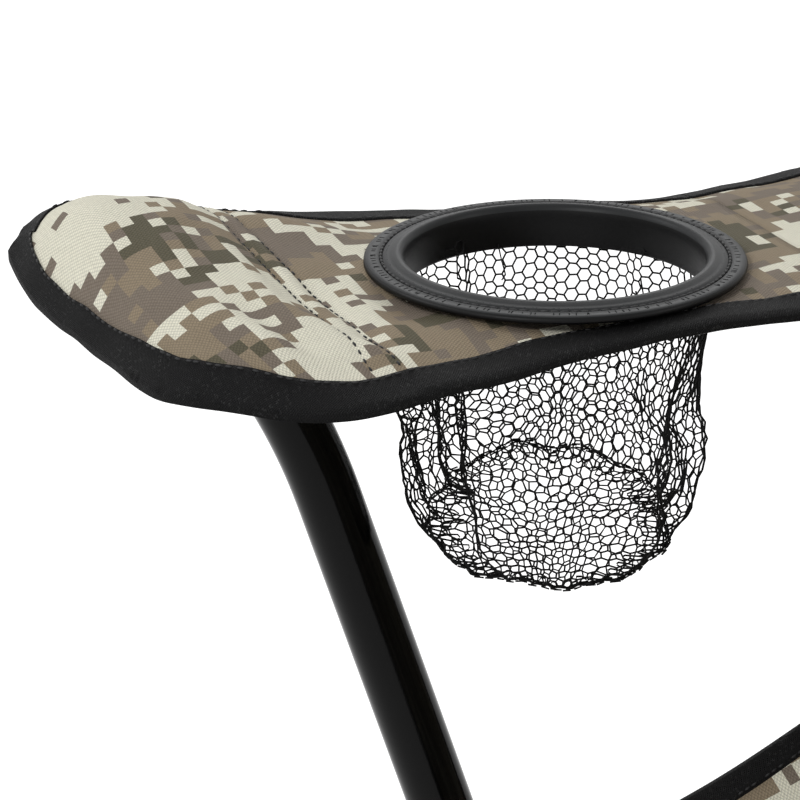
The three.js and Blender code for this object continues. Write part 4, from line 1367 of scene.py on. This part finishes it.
# The sling: one wide strip of the same camouflage oxford, sewn from four panels, that hangs from
# the front hubs' ears, dips into a seat and rises between the rear poles. Its long edges are
# bound with the tape, and its back is held by two sleeves that slip over the poles.
SLING_HALF_WIDTH = 0.2251
SLING_FRONT_Z = 0.4029
SLING_DIP = 0.052
SLING_REAR_EDGE_Z = 0.6259
SLING_TOP_Z = 0.846
SLING_THICKNESS = 0.0016
SLING_TAPE_SHOWING = 0.011
SLING_TAPE_STEP = 0.0025
EDGE_SAG = {0: 0, 0.14: 0.0135, 0.3: 0.0155, 0.5: 0.018, 0.68: 0.0155, 0.84: 0.0095, 1: 0}
SLING_SEAMS = [0, 0.3, 0.52, 0.7, 1]
SLING_MIDDLE = [Vector(place) for place in [
    (FRONT_HUB_Y - 0.005, SLING_FRONT_Z), (FRONT_HUB_Y + 0.07, SLING_FRONT_Z - 0.6 * SLING_DIP),
    (FRONT_HUB_Y + 0.17, SLING_FRONT_Z - SLING_DIP), (REAR_Y - 0.19, SLING_FRONT_Z - SLING_DIP),
    (REAR_Y - 0.098, SLING_FRONT_Z - 0.4 * SLING_DIP), (REAR_Y - 0.046, SLING_FRONT_Z + 0.058),
    (REAR_Y - 0.024, SLING_FRONT_Z + 0.168), (REAR_Y + 0.0024, SLING_FRONT_Z + 0.29),
    (REAR_Y + 0.012, SLING_TOP_Z - 0.004)]]
SLING_EDGE = [Vector((FRONT_HUB_Y - 0.009, SLING_FRONT_Z)).lerp(Vector((REAR_Y, SLING_REAR_EDGE_Z)), share)
              - Vector((0, sag)) for share, sag in EDGE_SAG.items()]
SLING_EDGE += [Vector((REAR_Y, (SLING_REAR_EDGE_Z + SLING_TOP_Z) / 2)), Vector((REAR_Y, SLING_TOP_Z))]
BOTH_SIDES = [[(0, 0), (1, 0)], [(0, 1), (1, 1)]]
# The panels: each one's node, its steps along the cloth, the edges that are bound, what it rests on.
PANELS_OF_SLING = [
    ("sling_front", 56, [[(1, 0), (0, 0), (0, 1), (1, 1)]], ["front_hub_left", "front_hub_right"]),
    ("sling_middle", 44, BOTH_SIDES, ["sling_strap_left", "sling_strap_right"]),
    ("sling_rear", 40, BOTH_SIDES, ["sling_strap_left", "sling_strap_right"]),
    ("sling_back", 70, [[(1, 0), (1, 1)]], ["rear_pole_left", "rear_pole_right"]),
]
STEPS_ACROSS_SLING = 110
# A felled seam between two panels: how deep its strip is, where on the print it is cut from, how
# thick it is and puffs up, and how deep its two rows of stitches lie.
SEAM_DEPTH = 0.0125
SEAM_CUT_FROM = 0.31
SEAM_CLOTH = 0.0006
SEAM_PUFF = 0.0007
SEAM_ROWS = [0.004, 0.0085]
SEAM_THREAD_HEIGHT = 0.0009
SEAM_POINTS = 300


@functools.lru_cache(maxsize=None)
def sling_lines(along):
    return smooth_line(SLING_MIDDLE, along), smooth_line(SLING_EDGE, along)


def sling_local(along, across):
    """The sling's middle surface: across goes from -1 on the sitter's right to 1."""
    middle, edge = sling_lines(along)
    place = middle.lerp(edge, abs(across) ** 2.6)
    return Vector((across * SLING_HALF_WIDTH, place.x, place.y))


def sling_point(along, across):
    """The same with its folds: soft waves, and pulls that run in from the corners and edges."""
    place = sling_local(along, across)
    from_front = min(along * 12, 1)
    loose = (1 - abs(across) ** 3) * from_front * min((1 - along) * 10, 1)
    wave = noise.noise(Vector((across * 1.6, along * 3.2, 2.5)))
    pull = noise.noise(Vector((across * 7 + along * 5 * math.copysign(1, across), along * 2.2, 9)))
    fine = noise.noise(Vector((across * 13, along * 16, 4)))
    push = (0.0042 * wave + 0.0024 * pull * (0.4 + abs(across)) + 0.0007 * fine) * loose
    sag = 0.0016 * noise.noise(Vector((along * 9, across, 1))) * from_front * min(abs(1 - along) * 4, 1)
    ahead, behind = sling_local(min(along + 0.01, 1), across), sling_local(max(along - 0.01, 0), across)
    rise = Vector((1, 0, 0)).cross(ahead - behind).normalized()
    return place + rise * (push + sag)


@functools.lru_cache(maxsize=None)
def sling_run(along, steps=100):
    """How far along its middle the cloth lies from the front edge, in metres."""
    return length_of([sling_local(along * k / steps, 0.5) for k in range(steps + 1)])


def seam_strip(place, sheet):
    """The doubled strip of cloth over a panel's lower end."""
    reach = (place(1, 0.5) - place(0, 0.5)).length

    def strip(along, across):
        at, facing, _, _ = sheet.find_nearest(place(along * SEAM_DEPTH / reach, 0.005 + 0.99 * across))
        puff = SEAM_PUFF * math.sin(math.pi * clamp(along, 0.02, 0.98)) ** 0.35
        return at + facing * (SLING_THICKNESS / 2 + puff)

    def flat(along, across):
        return (across * 2 - 1) * SLING_HALF_WIDTH, along * SEAM_DEPTH + SEAM_CUT_FROM

    mesh = laid(6, STEPS_ACROSS_SLING, strip, flat)
    bmesh.ops.recalc_face_normals(mesh, faces=mesh.faces)
    bmesh.ops.solidify(mesh, geom=mesh.faces, thickness=SEAM_CLOTH)
    bmesh.ops.recalc_face_normals(mesh, faces=mesh.faces)
    return mesh


def seam_stitches(place, sheet, share):
    places = []
    for k in range(SEAM_POINTS):
        at, facing, _, _ = sheet.find_nearest(place(share, 0.008 + 0.984 * k / (SEAM_POINTS - 1)))
        places.append((at + facing * (SLING_THICKNESS / 2 + SEAM_THREAD_HEIGHT), facing))
    return sewn(places)


def sew_panel(number, node, steps, routes, rests_on):
    low, high = SLING_SEAMS[number:number + 2]

    def place(along, across):
        return sling_point(low + (high - low) * along, across * 2 - 1)

    def flat(along, across):
        return (across * 2 - 1) * SLING_HALF_WIDTH, sling_run(round(low + (high - low) * along, 6))

    size, area = flat_size(place)
    mesh = laid(steps, STEPS_ACROSS_SLING, place, flat)
    sheet = BVHTree.FromBMesh(mesh)
    cloth = make_piece(f"{node}_panel", mesh, CAMO)
    thicken(cloth, SLING_THICKNESS)
    fit(cloth, node)
    trims = []
    if number:
        trims.append(fit_trim(f"{node}_seam_0", seam_strip(place, sheet), CAMO, node))
        for row, depth in enumerate(SEAM_ROWS):
            stitches = seam_stitches(place, sheet, depth / size[1])
            trims.append(fit_trim(f"{node}_seam_stitches_{row}", stitches, THREAD, node))
    for count, route in enumerate(routes):
        tape, places = edge_tape(sheet, cloth, edge_line(place, route, SLING_TAPE_STEP), SLING_THICKNESS,
                                 SLING_TAPE_STEP, SLING_TAPE_SHOWING)
        trims.append(fit_trim(f"{node}_binding_{count}", tape, TAPE, node))
        trims.append(fit_trim(f"{node}_stitches_{count}", sewn(places), THREAD, node))
    for piece in [cloth] + trims:
        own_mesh(piece)
    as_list(rests_on)


for number, panel in enumerate(PANELS_OF_SLING):
    sew_panel(number, *panel)


# The sleeves at the sling's back: the cloth is turned round each rear pole and stitched to itself,
# with the tape over its ends.
SLEEVE_RADIUS = 0.0114
SLEEVE_LOW = 0.648
SLEEVE_TOP = 0.8435
SLEEVE_LENGTH = SLEEVE_TOP - SLEEVE_LOW
SLEEVE_THICKNESS = 0.0012
SLEEVE_CUT_FROM = 0.13
SLEEVE_TAPE_IN = 0.0045
# The tape's section at a sleeve's end, in millimetres out from the sleeve and up from its middle.
SLEEVE_TAPE = [(-1.4, -5), (0.8, -5.5), (1.6, -5), (1.7, 0), (1.6, 5), (0.8, 5.5), (-1.4, 5)]


def make_sleeve(side_name):
    side = SIDES[side_name]
    pole = f"rear_pole_{side_name}"

    def wrap(along, across):
        height = SLEEVE_LOW + SLEEVE_LENGTH * along
        turn = across * 2 * math.pi
        pinch = 1 + 0.05 * noise.noise(Vector((math.cos(turn) * 1.5, math.sin(turn) * 1.5, height * 60)))
        radius = SLEEVE_RADIUS * pinch + 0.0006 * noise.noise(Vector((turn, height * 22, 5)))
        x = min(math.cos(turn) * radius, SLEEVE_RADIUS * 0.86)
        return Vector((side * (POLE_X - x), REAR_Y + math.sin(turn) * radius, height))

    def flat(along, across):
        return across * 2 * math.pi * SLEEVE_RADIUS, along * SLEEVE_LENGTH + SLEEVE_CUT_FROM

    mesh = laid(60, 36, wrap, flat)
    bmesh.ops.remove_doubles(mesh, verts=mesh.verts, dist=1e-6)
    bmesh.ops.recalc_face_normals(mesh, faces=mesh.faces)
    sleeve = make_piece(f"sling_sleeve_{side_name}", mesh, CAMO)
    thicken(sleeve, SLEEVE_THICKNESS)
    fit(sleeve, pole, replaces=False)
    rims = bmesh.new()
    for height in (SLEEVE_LOW + SLEEVE_TAPE_IN, SLEEVE_TOP - SLEEVE_TAPE_IN):
        section = [(SLEEVE_RADIUS + out / 1000, height + up / 1000) for out, up in SLEEVE_TAPE]
        add_to(rims, spun(section, 40, Vector((side * POLE_X, REAR_Y, 0))))
    uv = rims.loops.layers.uv.verify()
    for face in rims.faces:
        for loop in face.loops:
            turn = math.atan2(loop.vert.co.y - REAR_Y, loop.vert.co.x - side * POLE_X)
            loop[uv].uv = (turn * SLEEVE_RADIUS, loop.vert.co.z)
    binding = fit_trim(f"sling_sleeve_binding_{side_name}", rims, TAPE, pole)


for side_name in SIDES:
    make_sleeve(side_name)


# The sling's front corners and its straps. A plated eyelet in each corner takes a domed screw that
# holds the sling on the hub's ear. A strap of black webbing runs from each rear slider to the
# sling, and keeps it from sagging back.
EYELET_INSET = 0.0135
EYELET_OVER_HUB = 0.0031
SCREW_OVER_EYELET = 0.0008
EYELET_SECTION = [(0.0042, 0), (0.0075, 0), (0.0078, 0.0004), (0.0072, 0.0011), (0.006, 0.0014),
                  (0.0047, 0.0011), (0.0042, 0.0003)]
SCREW_SECTION = [(0, -0.002), (0.003, -0.002), (0.003, 0.0004), (0.0056, 0.0004), (0.0058, 0.0009),
                 (0.0052, 0.0022), (0.0036, 0.0033), (0.0018, 0.0038), (0, 0.0039)]
STRAP_WIDTH = 0.022
STRAP_THICKNESS = 0.0016
STRAP_SEWN_ALONG = 0.6
STRAP_SEWN_ACROSS = 0.74
STRAP_SEWN_LENGTH = 0.022
STRAP_OFF_SLING = SLING_THICKNESS / 2 + STRAP_THICKNESS / 2 + 0.0003
STRAP_UNDER_RIVET = 0.0015
STRAP_BELOW_RIVET = 0.0085
STRAP_OVER_LUG = 0.002
STRAP_SLACK = 0.003
# The box of stitches on a strap's head, as shares of its width and of its sewn length.
STRAP_SEAM = [(-0.38, 0.2), (0.38, 0.2), (0.38, 0.85), (-0.38, 0.85), (-0.38, 0.2), (0.38, 0.85)]
STRAP_SEAM_POINTS = 40
NEARBY = 0.004


def make_corner(side_name):
    hub = f"front_hub_{side_name}"
    at = Vector((SIDES[side_name] * (SLING_HALF_WIDTH - EYELET_INSET), FRONT_HUB_Y,
                 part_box(hub)[1].z + EYELET_OVER_HUB))
    eyelet = moved(spun(EYELET_SECTION, 40), Matrix.Translation(at))
    fit_trim(f"sling_eyelet_{side_name}", eyelet, RIVET_STEEL, hub)
    at.z += SCREW_OVER_EYELET
    screw = moved(spun(SCREW_SECTION, 32, closed=False), Matrix.Translation(at))
    fit_trim(f"sling_corner_screw_{side_name}", screw, RIVET_STEEL, hub)


def under_sling(side, spread, share, off=STRAP_OFF_SLING):
    """A place below the sling where the strap's head is sewn on."""
    along = STRAP_SEWN_ALONG + share * STRAP_SEWN_LENGTH
    across = side * STRAP_SEWN_ACROSS + spread * STRAP_WIDTH / SLING_HALF_WIDTH
    lengthwise = sling_point(along + NEARBY, across) - sling_point(along - NEARBY, across)
    sideways = sling_point(along, across + NEARBY) - sling_point(along, across - NEARBY)
    normal = lengthwise.cross(sideways).normalized()
    return sling_point(along, across) - normal * math.copysign(off, normal.z)


def strap_stitches(side):
    thread_off = STRAP_OFF_SLING + STRAP_THICKNESS / 2 + THREAD_OVER_CLOTH
    places = []
    for start, end in zip(STRAP_SEAM, STRAP_SEAM[1:]):
        for k in range(STRAP_SEAM_POINTS):
            spread, share = Vector(start).lerp(Vector(end), k / STRAP_SEAM_POINTS)
            on_strap = under_sling(side, spread, share, thread_off)
            places.append((on_strap, (on_strap - under_sling(side, spread, share, 0)).normalized()))
    return sewn(places)


def make_strap(side_name):
    """A strap whose foot lies on the slider's lug, under the head of the rivet, and whose head is
    sewn flat on the underside of the sling."""
    side = SIDES[side_name]
    node = f"sling_strap_{side_name}"
    rivet_low, rivet_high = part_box(f"rear_slider_{side_name}_cross_rivet")
    pole_y = middle_of(f"rear_pole_{side_name}").y
    near_end = min(rivet_low.y, rivet_high.y, key=lambda y: abs(y - pole_y))
    under_head = near_end - math.copysign(STRAP_UNDER_RIVET, near_end - pole_y)
    rivet = Vector((side * (POLE_X - PIVOT_REACH), under_head, (rivet_low.z + rivet_high.z) / 2))
    foot = rivet - Vector((0, 0, STRAP_BELOW_RIVET))
    bend = rivet + Vector((0, 0, LUG_HALF_HEIGHT + STRAP_OVER_LUG))
    on_lug = (bend - foot).length
    free = (under_sling(side, 0, 0) - bend).length
    on_cloth = (under_sling(side, 0, 1) - under_sling(side, 0, 0)).length
    length = on_lug + free + on_cloth

    def band(along, across):
        spread = across - 0.5
        sideways = Vector((spread * STRAP_WIDTH, 0, 0))
        gone = along * length
        if gone < on_lug:
            return foot.lerp(bend, gone / on_lug) + sideways
        if gone < on_lug + free:
            share = (gone - on_lug) / free
            slack = Vector((0, STRAP_SLACK * math.sin(math.pi * share), 0))
            return (bend + sideways).lerp(under_sling(side, spread, 0), share) + slack
        return under_sling(side, spread, min((gone - on_lug - free) / on_cloth, 1))

    webbing = laid(64, 8, band, lambda along, across: (along * length, across * STRAP_WIDTH))
    strap = make_piece(f"{node}_webbing", webbing, TAPE)
    thicken(strap, STRAP_THICKNESS)
    fit(strap, node)
    seam = fit_trim(f"{node}_stitches", strap_stitches(side), THREAD, node)


for side_name in SIDES:
    make_corner(side_name)
    make_strap(side_name)
